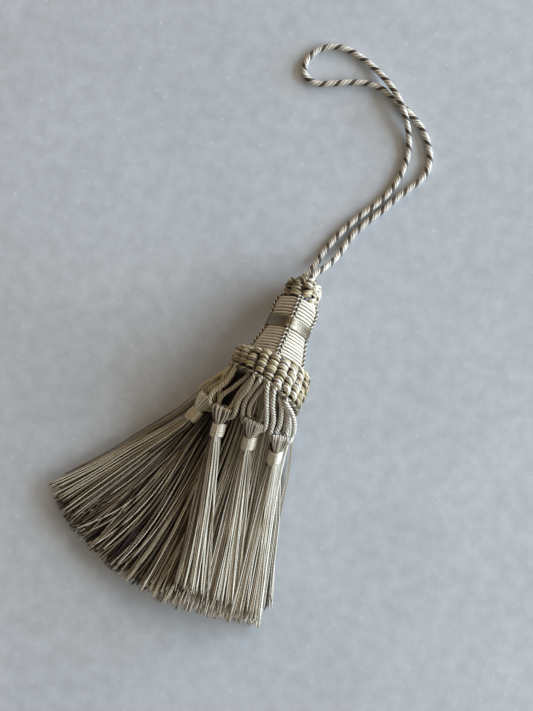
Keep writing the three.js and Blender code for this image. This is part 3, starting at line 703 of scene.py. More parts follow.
class TASSEL_OT_cord(bpy.types.Operator):
    """Lay the hanging cord: one dark ply and two cream ones, each of two strands with a thin one between"""

    bl_idname = "tassel.cord"
    bl_label = "Hanging cord"

    # a ply's strands: share of a turn from the ply's middle, mm from the cord's middle, and width in mm
    STRANDS = ((-0.088, 0.7, 0.9), (0.088, 0.7, 0.9), (0, 0.93, 0.36))
    TONES = ((0.88, 0.88, 0.95), (0.0, 0.0, 0.72), (0.02, 0.02, 0.9))  # of those strands in each ply

    def execute(self, context):
        route = evenly(curve_through(CORD_ROUTE), 600)
        yarns = Yarns()
        for i, tones in enumerate(self.TONES):
            for (turn, radius, width), tone in zip(self.STRANDS, tones):
                line, out = plied(route, i / 3 + turn, sizes().cord_lay, radius, hand=-1, steps=16)
                yarns.add(line, width, tone=tone, sides=8, face=out)
        cord = yarns.piece("hanging_cord", look_of("cord"), ["cord"])
        [v * MM for v in CORD_ROUTE[0]]
        [[float(v) * MM for v in p] for p in route]
        return {"FINISHED"}


class TASSEL_OT_head(bpy.types.Operator):
    """Wind the head with cord, lay the four braids along it and bind its waist with floss"""

    bl_idname = "tassel.head"
    bl_label = "Wound head"

    WRAP_SUNK, WRAP_HIGH = 0.36, 1.16  # how deep a wrap's middle lies in the head, and how high a wrap is
    FLOSS_OFF = 0.7  # how far the band's floss stands off the wraps
    FLOSS_BULGE = 0.4  # and its share of the band's bulge over a braid

    def execute(self, context):
        rng = np.random.default_rng(11)
        self.wraps(rng)
        self.band(rng)
        self.braids()
        return {"FINISHED"}

    def wraps(self, rng):
        pitch, first, last, fine = sizes().wrap, 3.6, 29.7, 96
        turns = int((last - first) / pitch)
        angle = np.linspace(0, 2 * math.pi * turns, turns * fine + 1) + math.pi

        def uneven(spots, by):
            """Small differences along the winding, so many in each turn."""
            spots = turns * spots
            return np.interp(angle, np.linspace(angle[0], angle[-1], spots), rng.normal(0, by, spots))

        at = first + pitch * (angle - math.pi) / (2 * math.pi)
        at = at + uneven(6, 0.035)
        line = beside(at, angle, head_radius(at, angle) - self.WRAP_SUNK)
        yarns = Yarns()
        yarns.add(line, pitch * 0.8 * (1 + uneven(5, 0.03)), tone=0.06, sides=12, height=self.WRAP_HIGH,
                  face=outward(angle))
        yarns.piece("head_wraps", look_of("wrap"), ["head"])
        # the wooden mold under the wraps, given the darkest tone as painted shade in the gaps between them
        core = Yarns()
        along = np.linspace(first, last + 0.3, 40)
        middle = np.stack([beside(a, 0.0, 0.0) for a in along])
        inside = np.interp(along, HEAD_AT, HEAD_RADIUS) * 0.93 - 0.4
        core.add(middle, 2 * inside, tone=0.95, sides=64, face=RAISE)
        core.piece("head_mold", look_of("wrap"))

    def band(self, rng):
        threads, fine = 15, 120
        angle = np.linspace(0, 2 * math.pi, fine, endpoint=False)
        middle = (BAND_FROM + BAND_TO) / 2
        wide = (BAND_TO - BAND_FROM) / threads
        corner = np.abs((angle * 2 / math.pi + 0.5) % 1 - 0.5) * 90  # degrees from the nearest braid
        tent = BAND_BULGE * np.clip(1 - corner / 30, 0, 1) ** 1.3
        yarns = Yarns()
        for i in range(threads):
            at = BAND_FROM + (i + 0.5) * wide
            slack = rng.normal(0, 0.03) + 0.03 * np.sin(angle * rng.integers(2, 6) + rng.uniform(0, 6))
            edge = 0.12 * abs(2 * i / (threads - 1) - 1) ** 4
            radius = np.maximum(head_radius(middle, angle), head_radius(at, angle)) + self.FLOSS_OFF
            radius = radius + self.FLOSS_BULGE * tent - edge + slack
            wave = at + 0.05 * np.sin(angle * rng.integers(1, 4) + rng.uniform(0, 6))
            yarns.add(beside(wave, angle, radius), wide * 1.35, tone=rng.uniform(0.3, 0.9), sides=8,
                      height=0.08, face=outward(angle), closed=True)
        yarns.piece("waist_band_floss", look_of("bronze"), ["waist_band"])

    def braids(self):
        for i in range(BRAIDS):
            angle = i * math.pi / 2
            at = np.linspace(ruff_upper(angle) - 0.6, 31.2, 60)
            yarns = Yarns()
            for side, hand in ((-1, 1), (1, -1)):  # the two cords of a braid, twisted opposite ways
                shift = side * 0.46 / head_radius(at, angle)
                line = beside(at, angle + shift, head_radius(at, angle) + 0.62)
                for ply, tone in ((0, 0.06), (0.5, 0.9)):
                    twist, out = plied(line, ply + 0.1 * side, 1.75, 0.25, hand=hand, steps=11)
                    yarns.add(twist, 0.56, tone=tone, sides=6, face=out)
            nodes = [f"braid_lower_{i + 1}", f"braid_upper_{i + 1}"]
            yarns.piece(f"braid_{i + 1}", look_of("braid"), nodes)


def knot(yarns, rng, middle, half, top, foot, ring, tones, tilt=0.0, dome=0.7, plunge=2.0, thick=1.05):
    """A wound knot: a stack of short cords, each bent over the ring's outside and tucked in at both sides.

    It stands round the ring at the angle middle, half so wide, from foot to top along the axis; ring gives
    the radius of the ring's outside there, and the stack swells out in its middle by the dome."""
    s = np.linspace(-1, 1, 11)
    count = max(2, round(top - foot))  # turns about a millimetre apart
    for i in range(count):
        level = 1 - 2 * (i + 0.5) / count
        row = (top + foot) / 2 + level * (top - foot) / 2
        swell = dome * (math.sqrt(1 - min(0.97, level ** 2)) - 1)
        wide = half * (1 + rng.normal(0, 0.05)) * (1 - 0.1 * level ** 2)
        dip = plunge * (1 - np.sqrt(np.clip(1 - np.abs(s) ** 2.2, 0, 1)))
        at = row - 0.3 * s ** 2 - math.tan(tilt) * s * wide + rng.normal(0, 0.05)
        radius = ring(row) + swell - thick / 2 + rng.normal(0, 0.05)
        angle = middle + s * wide / radius + rng.normal(0, 0.008)
        size = thick * (1 + rng.normal(0, 0.05)) * (1 - 0.3 * np.abs(s) ** 3)
        yarns.add(beside(at, angle, radius - dip), size, tone=tones[i % len(tones)] + rng.normal(0, 0.02),
                  sides=8, face=outward(angle), start=rng.uniform(0, 5))


class TASSEL_OT_ruffs(bpy.types.Operator):
    """Tie the two ruffs of wound knots"""

    bl_idname = "tassel.ruffs"
    bl_label = "Knotted ruffs"

    def execute(self, context):
        self.large(np.random.default_rng(21))
        self.top(np.random.default_rng(22))
        return {"FINISHED"}

    # degrees round the ruff from straight up towards +X, and how far along the axis its knots end there and
    # its rim cord lies
    ROUND = np.array([-180, -135, -90, -60, -30, 0, 20, 45, 90, 135, 180])
    FOOT = np.array([-4.8, -2.2, -0.3, -1.7, -2.9, -4.9, -6.5, -7.4, -8.5, -7.6, -4.8])
    RIM = np.array([-6.2, -3.4, -1.6, -3.1, -4.3, -5.7, -7.3, -8.3, -9.3, -8.6, -6.2])
    # painted shade and light: how much darker its knots are, or paler where it's under 0, at other degrees,
    # for how the light falls on each side of the ruff
    PAINTED_SHADE_AT = (-90, -10, 10, 45, 65, 90, 180)
    PAINTED_SHADE = (0.14, 0.1, -0.06, -0.2, 0.16, 0.34, 0)
    KNOT_TONES = ((0.12, 0.3, 0.08, 0.66, 0.2), (0.3, 0.08, 0.62, 0.14, 0.1), (0.08, 0.55, 0.14, 0.3, 0.7))

    def large(self, rng):
        count = sizes().knots
        yarns = Yarns()
        half = math.pi * RUFF_OUTER / count * 0.84
        for i in range(count):
            angle = (2 * math.pi * (i + 0.02) / count + math.pi) % (2 * math.pi) - math.pi
            lower, upper = ruff_lower(angle), ruff_upper(angle)
            foot = np.interp(angle / RAD, self.ROUND, self.FOOT)
            right = float(np.clip(math.sin(angle) * 1.8 - 0.2, 0, 1)) if math.cos(angle) > -0.5 else 0.0
            tilt = 0.05 + 0.7 * right + rng.normal(0, 0.07)
            # painted shade and light for this side of the ruff, added to the knots' own tones
            shade = float(np.interp(angle / RAD, self.PAINTED_SHADE_AT, self.PAINTED_SHADE))

            def ring(at):
                return float(ruff_radius((at - lower) / (upper - lower))) + 0.35

            if right > 0.3:
                # the knots on this side are short, slanted and out of step with their neighbours
                high, first = 2.35, 1.2 + 1.2 * (i % 2)
                breaks = [upper - 0.1, *np.arange(upper - first, foot + 0.9, -high), foot]
            elif i % 2:
                breaks = [upper - 0.1, upper - 1.9, upper - 3.6 + rng.normal(0, 0.1), foot]
            else:
                breaks = [upper - 0.1, upper - 2.9 + rng.normal(0, 0.15), foot]
            for j, (top, low) in enumerate(zip(breaks, breaks[1:])):
                shift = 0.12 * half / RUFF_OUTER * (-1) ** j
                tones = [tone + shade for tone in self.KNOT_TONES[(i + 2 * j) % 3]]
                knot(yarns, rng, angle + shift, half, top, low + 0.42, ring, tones, tilt)
            # a small knot on the ruff's upper edge, between this column and the next
            knot(yarns, rng, angle + half / RUFF_OUTER, half * 0.8, upper + 0.5, upper - 1.3,
                 lambda at: 12.6, (0.66, 0.3), tilt=0.1, dome=0.2, plunge=1.0, thick=0.85)
        # the cord round its lower rim, and the ring that the knots are tied on, in the darkest tone as
        # painted shade in the gaps between the knots
        angle = np.linspace(-math.pi, math.pi, 200)
        rim = beside(np.interp(angle / RAD, self.ROUND, self.RIM), angle, 14.3)
        for ply, tone in ((0, 0.8), (1 / 3, 0.5), (2 / 3, 0.88)):
            twist, out = plied(rim, ply, 3.6, 0.42, hand=-1, steps=14)
            yarns.add(twist, 0.8, tone=tone, sides=8, face=out)
        core = beside(np.array([-3.4, 3.4])[:, None], angle[None, ::4], 12.2)
        yarns.add(core, 3.0, tone=1.0, sides=8, height=3.4)
        yarns.piece("ruff_knots", look_of("knot"), ["ruff"])

    # the top ruff's knots: degrees round it, half width, top and foot along the axis, tilt, thickness, tones;
    # the tones are darker left of the top (under 0 degrees) as painted shade over the yarns' own mixed tones
    TOP_KNOTS = (
        (-24, 2.7, 32.5, 30.5, 0.12, 1.1, (0.5, 0.3)), (19, 1.9, 33.9, 31.2, -0.5, 1.1, (0.4, 0.12, 0.4)),
        (50, 1.9, 32.2, 29.7, -0.5, 1.1, (0.04, 0.3)), (84, 2.3, 32.9, 30.2, -0.2, 1.1, (0.1, 0.6, 0.1)),
        (-30, 2.0, 34.9, 32.8, -0.25, 1.15, (0.72, 0.4)), (-68, 2.2, 32.6, 30.4, 0.2, 1.15, (0.74, 0.5)),
        (-72, 2.1, 35.6, 32.9, -0.3, 1.15, (0.6, 0.74)), (-33, 1.4, 36.9, 35.3, 0.4, 1.2, (0.74, 0.6)),
        (-16, 1.5, 38.9, 36.5, 0.8, 1.15, (0.68, 0.6)), (11, 1.7, 37.6, 34.4, 0.05, 1.3, (0.66, 0.12, 0.64)),
        (46, 1.8, 34.9, 32.5, 0.35, 1.15, (0.04, 0.2)), (78, 2.0, 35.8, 33.2, 0.5, 1.15, (0.12, 0.04)),
        (44, 1.8, 37.4, 35.2, -0.5, 1.15, (0.04, 0.1)), (80, 1.6, 38.4, 36.0, 0.3, 1.1, (0.1, 0.3)),
        (-80, 1.6, 38.0, 35.9, 0.3, 1.1, (0.5, 0.2)),
    )
    # and its radius along the axis
    TOP_AT, TOP_RADIUS = (30, 31.5, 34.5, 37, 38.5, 39.5), (6.5, 6.9, 7.1, 6.5, 5.4, 4.0)

    def top(self, rng):
        yarns = Yarns()

        def ring(at):
            return float(np.interp(at, self.TOP_AT, self.TOP_RADIUS)) + 0.2

        for degrees, half, top, foot, tilt, thick, tones in self.TOP_KNOTS:
            knot(yarns, rng, degrees * RAD, half, top, foot, ring, tones, tilt, dome=0.5, plunge=1.5,
                 thick=thick)
        # three rows of five behind, and a ring of six on top, round the cord
        tones = ((0.12, 0.3, 0.08), (0.64, 0.1, 0.3), (0.1, 0.6, 0.14))
        for top, foot, turn in ((32.9, 30.1, 118), (35.9, 33.0, 106), (38.2, 36.1, 122)):
            for i in range(5):
                knot(yarns, rng, (turn + i * 33) * RAD, 2.0, top, foot, ring, tones[i % 3],
                     rng.normal(0.1, 0.3), dome=0.6, plunge=1.6, thick=1.15)
        for i in range(6):
            knot(yarns, rng, 2 * math.pi * (i + 0.4) / 6, 1.7, 39.5, 38.0, lambda at: 3.9, tones[i % 3],
                 rng.normal(0, 0.3), dome=0.3, plunge=1.2, thick=1.1)
        # a core of the darkest tone inside the knots: painted shade in the gaps between them
        along = np.linspace(29.4, 38.2, 12)
        middle = np.stack([beside(a, 0.0, 0.0) for a in along])
        wide = np.interp(along, [29.4, 32, 35, 37, 38.2], [5.4, 5.6, 5.6, 4.6, 3.0])
        yarns.add(middle, 2 * wide, tone=1.0, sides=32, face=RAISE)
        yarns.piece("top_ruff_knots", look_of("knot"), ["top_ruff"])


def fringe_tones(rng, count, weights=(0.34, 0.17, 0.11, 0.09, 0.09, 0.11, 0.09)):
    """A cut fringe's colours, from cream to bark, in the shares given."""
    picked = rng.choice([0.04, 0.2, 0.42, 0.58, 0.72, 0.86, 0.96], count, p=weights)
    return np.clip(picked + rng.normal(0, 0.03, count), 0, 1)


class TASSEL_OT_skirt(bpy.types.Operator):
    """Hang the cut fringe, layer by layer"""

    bl_idname = "tassel.skirt"
    bl_label = "Fringe skirt"

    # Each layer: how many yarns, the share of them set evenly round the ruff, how deep they lie (0 on top, 1
    # on the surface), a yarn's corners and steps, how much shorter it is, whether its yarns lie loose and how
    # far they are raised, how its streaks differ, how much painted shade darkens it on the open side and
    # painted light lightens it on the other, and the shares of the fringe's seven tones, mostly dark in the
    # upper and middle layers as painted shade in the gaps under the yarns on top.
    LAYERS = (
        dict(name="loose", count=105, even=0.12, depth=(0.0, 0.0), sides=6, steps=34, short=0, loose=True,
             raised=0.45, streak=0.08, darker=0.32, painted_light=0.54,
             shares=(0.42, 0.24, 0.16, 0.08, 0.06, 0.03, 0.01)),
        dict(name="top", count=190, even=0.3, depth=(0.04, 0.14), sides=6, steps=26, short=0, loose=True,
             raised=0, streak=0.14, darker=0.56, painted_light=0.72,
             shares=(0.32, 0.18, 0.12, 0.1, 0.1, 0.09, 0.09)),
        dict(name="upper", count=400, even=0.35, depth=(0.18, 0.34), sides=5, steps=20, short=0.015,
             loose=False, streak=0.14, darker=0.68, painted_light=0.74,
             shares=(0.05, 0.07, 0.08, 0.12, 0.16, 0.24, 0.28)),
        dict(name="middle", count=380, even=0.4, depth=(0.4, 0.85), sides=4, steps=14, short=0.03,
             loose=False, streak=0.1, darker=0.5, painted_light=0.45,
             shares=(0.0, 0.02, 0.06, 0.12, 0.16, 0.3, 0.34)),
        dict(name="under", count=260, even=0.45, depth=(0.9, 1.0), sides=5, steps=20, short=0.01,
             loose=False, streak=0, darker=0.32, painted_light=0.24,
             shares=(0.2, 0.18, 0.16, 0.14, 0.14, 0.12, 0.06)),
    )
    LOCKS = 44  # bunches of yarns that run together
    STREAK = 1.5  # how wide a streak of colour is at the ends, in mm

    def execute(self, context):
        rng = np.random.default_rng(31)
        for i, layer in enumerate(self.LAYERS):
            count, ends = layer["count"], np.linspace(0, 1, layer["steps"])
            lines = self.lines(rng, layer)
            width = sizes().yarn * rng.normal(1, 0.08, count)[:, None] * (1 + 0.3 * (ends > 0.995))
            tones = self.tones(rng, layer, lines[:, -1, 0], ends)
            yarns = Yarns()
            yarns.add(lines, width, tone=tones, sides=layer["sides"], face=UP,
                      start=rng.uniform(0, 9, count))
            if i == 0:
                self.strays(yarns, rng)
            name = f"skirt_{layer['name']}_yarns"
            yarns.piece(name, look_of("fringe"), ["skirt"] if i == 0 else ())
        return {"FINISHED"}

    def tones(self, rng, layer, x, ends):
        """Each yarn's tones along it, for its end's place across the fan.

        Painted shade darkens it under the loops near the ruff and where the fan opens, and painted light
        lightens it on the other side and at its cut ends."""
        # painted shade on the open side, painted light on the full side
        open_side = (np.clip((-x - 2) / 24, 0, 1) * np.clip((x + 66) / 18, 0.5, 1))[:, None]
        full_side = np.clip((x + 14) / 30, 0, 1)[:, None]
        # painted shade under the loops, near the ruff
        painted_fold_shade = 0.75 * np.exp(-(ends / 0.27) ** 2) * (1 - 0.3 * full_side)
        streak = rng.normal(0, layer["streak"], 90)[np.floor((x + 80) / self.STREAK).astype(int) % 90]
        tones = (fringe_tones(rng, layer["count"], layer["shares"]) + streak)[:, None] + painted_fold_shade
        # one yarn in five keeps its own tone where the rest darken with painted shade
        keeps = np.where(rng.uniform(0, 1, layer["count"]) < 0.2, 0.1, 1.5)[:, None]
        tones = tones + open_side * keeps * layer["darker"]
        tones = tones - full_side * layer["painted_light"]
        # painted highlight: the cut ends are lighter, most of all on the full side
        cut_end = ends > 0.985
        return np.clip(tones - (0.45 + 0.4 * full_side) * cut_end, 0, 1)

    def lines(self, rng, layer):
        """Each yarn's line from the ruff to its cut end, across the fan and deep in it."""
        count, loose = layer["count"], layer["loose"]
        share = np.linspace(0, 1, layer["steps"])[None] ** 0.9
        spread = (np.arange(count) + rng.uniform(0, 1, count)) / count
        bunch = np.floor(spread * count / 3)
        lean = rng.normal(0, 1, int(bunch.max()) + 1)[bunch.astype(int)]
        fan = np.clip(spread + 0.006 * lean, 0.0, 1.0)
        around = rng.uniform(0, 1, count) < layer["even"]
        across = np.where(around, rng.uniform(0, 1, count), 1 - fan ** (1 / SKIRT_CROWDING))[:, None]
        sway = rng.normal(0, 0.008, (count, 1)) * share + 0.003 * np.sin(
            2 * math.pi * (share * rng.uniform(0.5, 1.6, (count, 1)) + rng.uniform(0, 1, (count, 1))))
        # the locks bend each in its own way, and the open side turns out at its ends
        lock = np.floor(spread * self.LOCKS).astype(int)
        bend, curl = rng.normal(0, 1, (2, self.LOCKS + 1))[:, lock][..., None]
        sway = sway + 0.004 * bend * np.sin(math.pi * share) + 0.002 * curl * np.sin(2 * math.pi * share)
        sway = sway + 0.03 * (1 - across) ** 4 * (1 - 0.75 * np.clip((share - 0.5) / 0.5, 0, 1) ** 2)
        sway = sway * np.clip(share * 4, 0, 1) * np.clip(2.4 * (1 - across) + 0.3, 0, 2)
        short = 0.045 * np.exp(-across / 0.03) * rng.uniform(0, 1, (count, 1))
        across = np.clip(across + sway, 0.014, 1.0)
        # at the sides many yarns leave the ruff from deeper than they lie further down
        deep = rng.uniform(*layer["depth"], (count, 1))
        side = np.clip(1 - across / 0.35, 0, 1) + 0.5 * np.clip((across - 0.8) / 0.2, 0, 1)
        begin = np.clip(deep + rng.uniform(0, 1, (count, 1)) * side * (0.9 if loose else 0.3), 0, 1)
        ease = np.clip(share / 0.4, 0, 1)
        ease = ease * ease * (3 - 2 * ease)
        deep = begin + (deep - begin) * ease
        end = 1 + rng.normal(0, 0.014, (count, 1)) - layer["short"] - short
        reach = share * np.minimum(end, 1.025)
        top, floor = skirt_top(across, reach), skirt_floor(across, reach)
        place = top + (floor - top) * deep[..., None]
        if loose:
            # loose yarns stand up a little, most of all on the full side
            hump = np.abs(rng.normal(0, 0.4, (count, 1))) * np.sin(math.pi * share ** 0.7)
            full = np.clip((place[:, -1:, 0] + 14) / 26, 0, 1) * np.clip((31 - place[:, -1:, 0]) / 8, 0, 1)
            rise = rng.uniform(0.3, 2.2, (count, 1)) * full * np.sin(math.pi * np.clip(share, 0, 1) ** 0.6)
            place[..., 2] += hump + rise + layer["raised"]
        low = sizes().yarn / 2 + 0.02
        place[..., 2] = np.maximum(place[..., 2] - 0.2, low)
        return place

    def strays(self, yarns, rng):
        """A few yarns that have come away from the others on each side."""
        sides = (
            ((13.8, -10.0, 8.0), (15.6, -18.0, 4.0), (18.8, -30.0, 1.2), (20.6, -42.0, 0.3),
             (23.0, -58.0, 0.3), (26.4, -74.0, 0.3), (29.0, -85.5, 0.3)),
            ((-14.0, -4.0, 9.0), (-19.5, -12.0, 3.0), (-25.4, -22.0, 0.5), (-34.5, -34.0, 0.3),
             (-46.0, -49.0, 0.3), (-54.5, -58.5, 0.3), (-60.0, -64.5, 0.3)),
        )
        for points, count in zip(sides, (5, 14)):
            for _ in range(count):
                shift, away = rng.normal(0, 0.5, 2), rng.normal(0, 1.7, 2)
                drift = shift + np.outer(np.linspace(0, 1, 7) ** 1.4, away)
                line = np.array(points) + np.column_stack([drift, np.zeros(7)])
                line = evenly(curve_through(line), 40)[:rng.integers(36, 41)]
                yarns.add(line, sizes().yarn * 0.8, tone=rng.choice([0.1, 0.4, 0.7]), sides=6, face=UP)


class TASSEL_OT_small_tassels(bpy.types.Operator):
    """Make the small tassels: loops, tufts, floss collars and cut strands"""

    bl_idname = "tassel.small_tassels"
    bl_label = "Small tassels"

    def execute(self, context):
        for i, mini in enumerate(MINIS):
            small = SmallTassel(mini)
            rng = np.random.default_rng(41 + i)
            self.loops(small)
            self.collar(small)
            yarns = Yarns()
            self.tuft(small, rng, yarns)
            self.strands(small, rng, yarns)
            yarns.piece(f"small_tassel_{small.name}_yarns", look_of("fringe"),
                        [f"small_tassel_{small.name}"])
        return {"FINISHED"}

    def loops(self, small):
        """Each loop is laid of three plies, with a thin darker one in each groove."""
        lay = sizes().loop_lay
        for which, letter in (("outer", "a"), ("inner", "b")):
            yarns = Yarns()
            line = evenly(small.loop(which), 200)
            if not small.under:  # both legs bow up a little
                line[:, 2] += 1.5 * np.sin(2 * math.pi * np.linspace(0, 1, 200)) ** 2
            for ply in range(3):
                twist, out = plied(line, ply / 3, lay, 0.46, hand=-1, steps=11)
                yarns.add(twist, 0.86, tone=small.loop_tone_and_shade, sides=8, face=out)
                twist, out = plied(line, (ply + 0.5) / 3, lay, 0.62, hand=-1, steps=9)
                yarns.add(twist, 0.3, tone=0.6, sides=5, face=out)
            name = f"small_loop_{small.name}{letter}"
            yarns.piece(name + "_cord", look_of("loop"), [name])

    def collar(self, small):
        yarns = Yarns()
        turns, fine = 6, 32
        share = np.linspace(0, 1, turns * fine + 1)
        at = COLLAR_FROM + (COLLAR_TO - COLLAR_FROM - 0.8) * share
        angle = 2 * math.pi * turns * share
        centre, _, across, out = small.smooth(at)
        radius = COLLAR_RADIUS + 0.12 * np.sin(math.pi * share) - 0.1 + 0.03 * np.sin(angle * 0.37)
        face = np.cos(angle)[:, None] * out + np.sin(angle)[:, None] * across
        yarns.add(centre + radius[:, None] * face, 1.04, tone=small.collar_tone_and_shade, sides=8, height=0.42,
                  face=face)
        name = f"small_collar_{small.name}"
        yarns.piece(name + "_floss", look_of("floss"), [name])

    # A tuft's strand, folded over the loops: its places along the small tassel's line and how far they
    # slip, its half width, its height at the tuft's edge and how much higher it is in the middle and over
    # the loops.
    TUFT_AT = np.array([0.9, 0.25, 0.3, 1.0, 2.5, 4.0, 5.4, 6.5, 7.6])
    TUFT_SLIP = np.array([0, 1, 1, 0.5, 0, 0, 0, 0, 0])
    TUFT_WIDE = np.array([3.3, 3.45, 3.6, 3.65, 3.45, 2.85, 2.1, 1.7, 1.6])
    TUFT_HIGH = np.array([0.1, 0.5, 1.0, 1.3, 1.2, 1.1, 0.8, 0.5, 0])
    TUFT_ROUND = np.array([0, 0, 0, 0.15, 0.7, 1.1, 1.6, 1.75, 1.7])
    TUFT_OVER = np.array([0.5, 1.0, 1.3, 1.4, 1.1, 0.7, 0.3, 0, 0])

    def tuft(self, small, rng, yarns):
        """Strands folded over the loops, spread at the ridge and drawn in at the neck, front and back."""
        for front, count in ((1, 17), (-1, 10)):
            for i in range(count):
                p = 2 * (i + 0.5) / count - 1 + rng.normal(0, 0.02)
                round_ = math.sqrt(max(0.0, 1 - 0.9 * p * p))
                at = self.TUFT_AT + rng.normal(0, 0.15) * self.TUFT_SLIP
                at[7:] += 0.5 * round_ - 0.5
                side = small.width * p * self.TUFT_WIDE
                side = side + rng.normal(0, 0.06)
                lift = self.TUFT_HIGH + self.TUFT_ROUND * round_
                over = 0 if small.under else self.TUFT_OVER
                lift = lift + over if front > 0 else -lift
                line = evenly(curve_through(small.spot(at, side, lift), 6), 24)
                along = np.linspace(0, 1, 24)
                taper = np.interp(along, [0, 0.12, 0.35, 0.8, 1], [0.36, 0.44, 0.46, 0.34, 0.3])
                tone = rng.choice([0.0, 0.1, 0.45, 0.92], p=[0.4, 0.22, 0.16, 0.22])
                # painted highlight: each strand is cream where it turns over the ridge
                tone = tone * np.interp(along, [0, 0.16, 0.34, 1], [0.0, 0.0, 1, 1])
                yarns.add(line, taper, tone=tone, sides=6, face=None if front < 0 else small.out[2])
        # a core of the darkest tone that fills the tuft between them: painted shade in the gaps between the
        # strands
        at = np.linspace(0.7, 7.0, 12)
        wide = np.interp(at, [0.7, 2.5, 4.0, 5.4, 7.0], [3.2, 3.2, 2.6, 1.9, 1.4]) * small.width
        thick = np.interp(at, [0.7, 2.5, 5.4, 7.0], [0.6, 1.3, 1.7, 1.5])
        yarns.add(small.smooth(at)[0], 2 * wide, tone=1.0, sides=16, height=2 * thick, face=small.out[2])

    def strands(self, small, rng, yarns):
        """The cut strands from the collar down; p and q say how far across and up in the bundle one lies."""
        count, steps, first, last = 84, 30, 7.0, BUNDLE_AT[-1]
        turn = rng.uniform(0, 2 * math.pi, count)
        far = np.sqrt(rng.uniform(0.1, 1, count))
        p, q = far * np.cos(turn), far * np.sin(turn)
        share = np.linspace(0, 1, steps)[None]
        end = last + rng.normal(0, 1.2, (count, 1)) - 1.0
        at = first + (end - first) * share
        spread = p[:, None] * (1 + rng.normal(0, 0.12, (count, 1)) * share)
        spread = spread + rng.normal(0, 0.06, (count, 1)) * np.sin(math.pi * share * rng.uniform(0.6, 1.6))
        fan = 1 + small.fan * share ** 1.5
        side = spread * np.interp(at, BUNDLE_AT, BUNDLE_WIDE - 0.15) * small.width * fan
        wander, waves = rng.normal(0, 0.35, (count, 1)), rng.uniform(0.8, 2.2, (count, 1))
        side = side + wander * np.sin(math.pi * share * waves)
        thick = np.interp(at, BUNDLE_AT, BUNDLE_THICK - 0.2)
        lift = q[:, None] * thick * np.where(q > 0, 1.6, 1.0)[:, None]
        lift = lift + np.abs(rng.normal(0, 0.12, (count, 1))) * share
        lines = small.spot(at, side, lift)
        lines[..., 2] = np.maximum(lines[..., 2], sizes().yarn / 2 + 0.02)
        width = sizes().yarn * 0.95 * rng.normal(1, 0.07, (count, 1))
        width = width * (0.82 + 0.18 * np.clip(share * 6, 0, 1))
        streak = rng.normal(0, 0.15, 20)[np.floor((p + 1) * 6).astype(int)]
        # painted light: paler on the small tassels that lie in the light; painted shade: darker underneath
        tones = np.clip(fringe_tones(rng, count) + streak - small.painted_light, 0, 1)
        tones = np.where(q < 0, np.clip(tones + 0.4, 0, 1), tones)  # darker underneath
        yarns.add(lines, width, tone=tones, sides=5, face=UP, start=rng.uniform(0, 9, count))


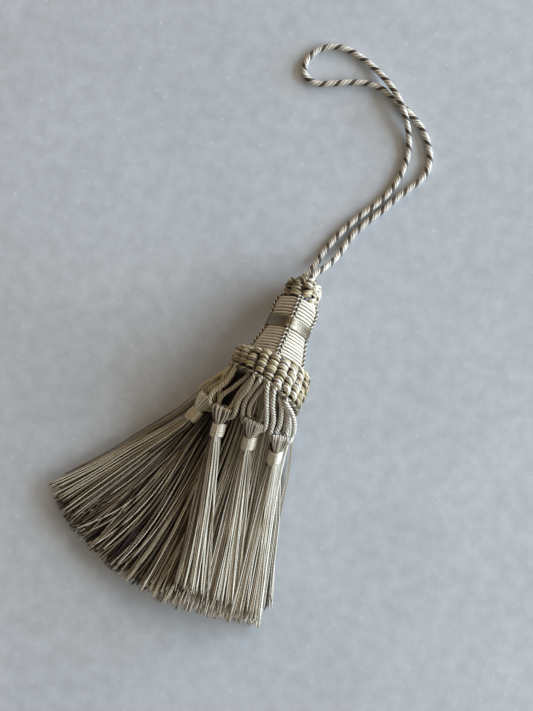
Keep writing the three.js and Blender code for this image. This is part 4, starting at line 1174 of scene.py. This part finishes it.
class TASSEL_OT_stage(bpy.types.Operator):
    """Set a plain pale surface, a large soft light from the right, two weaker ones and a dim warm room"""

    bl_idname = "tassel.stage"
    bl_label = "Stage"

    def execute(self, context):
        scene = context.scene
        self.floor(scene)
        world = bpy.data.worlds.new("room")
        world.use_nodes = True
        room = world.node_tree.nodes["Background"]
        room.inputs[0].default_value, room.inputs[1].default_value = linear("#FAE9D0"), 0.175
        scene.world = world
        # the window throws the long soft shadow, the doorway a fainter one, and the wall gives warm light
        self.lamp(scene, "window", 28, 18.5, 2.4, (3.0, 1.3), 121.0, "#DDEEFF")
        self.lamp(scene, "doorway", -26, 38, 1.2, (0.9, 0.7), 3.3, "#F4EFE6")
        self.lamp(scene, "wall", 108, 25, 2.5, (1.4, 1.0), 14.0, "#FFDDB4")
        scene.view_settings.view_transform = "Standard"
        return {"FINISHED"}

    def floor(self, scene):
        mesh = bpy.data.meshes.new("floor")
        half = 1.6
        mesh.from_pydata([(-half, -half, 0), (half, -half, 0), (half, half, 0), (-half, half, 0)], [],
                         [(0, 1, 2, 3)])
        floor = bpy.data.objects.new("floor", mesh)
        floor.location.z = -0.02 * MM
        scene.collection.objects.link(floor)
        # Stone, honed and not polished: matt with a soft sheen, faintly clouded, with fine paler flecks.
        look = bpy.data.materials.new("Honed pale stone")
        look.use_nodes = True
        tree = look.node_tree
        tree.nodes.clear()
        place = node(tree, "TexCoord").outputs["Object"]
        # clouds 111 mm wide, patches 59, grains 5.3 and flecks 1.9: how wide, fine, rough and bent each is
        cloud, patch, grain, fleck = (
            node(tree, "TexNoise", {"Vector": place, "Scale": grains(wide), "Detail": detail,
                                    "Roughness": rough, "Distortion": bent})
            for wide, detail, rough, bent in ((1000 / 9, 4.0, 0.5, 0.0), (1000 / 17, 7.0, 0.62, 0.9),
                                              (1000 / 190, 5.0, 0.5, 0.0), (1000 / 520, 1.0, 0.5, 0.0)))
        gloss = node(tree, "MapRange", {0: cloud, 3: 0.34, 4: 0.5})
        level = node(tree, "MapRange", {0: grain, 1: 0.34, 2: 0.66, 3: 0.93, 4: 1.05})
        stain = node(tree, "MapRange", {0: patch, 1: 0.34, 2: 0.66, 3: 0.94, 4: 1.03})
        level = node(tree, "Math", {0: level, 1: stain}, operation="MULTIPLY")
        bright = node(tree, "MapRange", {0: fleck, 1: 0.66, 2: 0.78, 3: 0.0, 4: 0.16})
        level = node(tree, "Math", {0: level, 1: bright}, operation="ADD")
        tint = node(tree, "VectorMath", {0: linear(colours().floor)[:3], 3: level}, operation="SCALE")
        shader = node(tree, "BsdfPrincipled", {"Base Color": tint, "Roughness": gloss})
        node(tree, "OutputMaterial", {0: shader})
        mesh.materials.append(look)
        floor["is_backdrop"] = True

    def lamp(self, scene, name, turn, height, far, size, power, colour):
        """A rectangular light, turned so many degrees from +X, so high above the surface and so far away."""
        turn, height = turn * RAD, height * RAD
        spot = far * Vector((
            math.cos(height) * math.cos(turn), math.cos(height) * math.sin(turn), math.sin(height)
        ))
        light = bpy.data.lights.new(name, "AREA")
        light.shape, light.size, light.size_y = "RECTANGLE", size[0], size[1]
        light.energy, light.color = power, linear(colour)[:3]
        lamp = bpy.data.objects.new(name, light)
        lamp.location = spot
        lamp.rotation_euler = spot.to_track_quat("Z", "Y").to_euler()
        scene.collection.objects.link(lamp)


class TASSEL_PT_panel(bpy.types.Panel):
    """Lists the tassel's pieces in the sidebar"""

    bl_label = "Tassel"
    bl_idname = "TASSEL_PT_panel"
    bl_space_type = "VIEW_3D"
    bl_region_type = "UI"
    bl_category = "Tassel"

    def draw(self, context):
        for settings in (context.scene.tassel_sizes, context.scene.tassel_colours):
            for name in settings.__annotations__:
                self.layout.prop(settings, name)
        for operator in OPERATORS:
            self.layout.operator(operator.bl_idname)


OPERATORS = (TASSEL_OT_camera, TASSEL_OT_cord, TASSEL_OT_head, TASSEL_OT_ruffs, TASSEL_OT_skirt,
             TASSEL_OT_small_tassels, TASSEL_OT_stage)
CLASSES = (TasselSizes, TasselColours, *OPERATORS, TASSEL_PT_panel)


def register():
    for made in CLASSES:
        bpy.utils.register_class(made)
    bpy.types.Scene.tassel_sizes = bpy.props.PointerProperty(type=TasselSizes)
    bpy.types.Scene.tassel_colours = bpy.props.PointerProperty(type=TasselColours)


def unregister():
    del bpy.types.Scene.tassel_colours
    del bpy.types.Scene.tassel_sizes
    for made in reversed(CLASSES):
        bpy.utils.unregister_class(made)


def main():
    register()
    bpy.ops.tassel.camera()
    bpy.ops.tassel.cord()
    bpy.ops.tassel.head()
    bpy.ops.tassel.ruffs()
    bpy.ops.tassel.skirt()
    bpy.ops.tassel.small_tassels()
    bpy.ops.tassel.stage()
    boxes = {"cad": CAD_BOX, "visual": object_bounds()}
    {name: [[float(v) for v in corner] for corner in box] for name, box in boxes.items()}


if __name__ == "__main__":
    main()
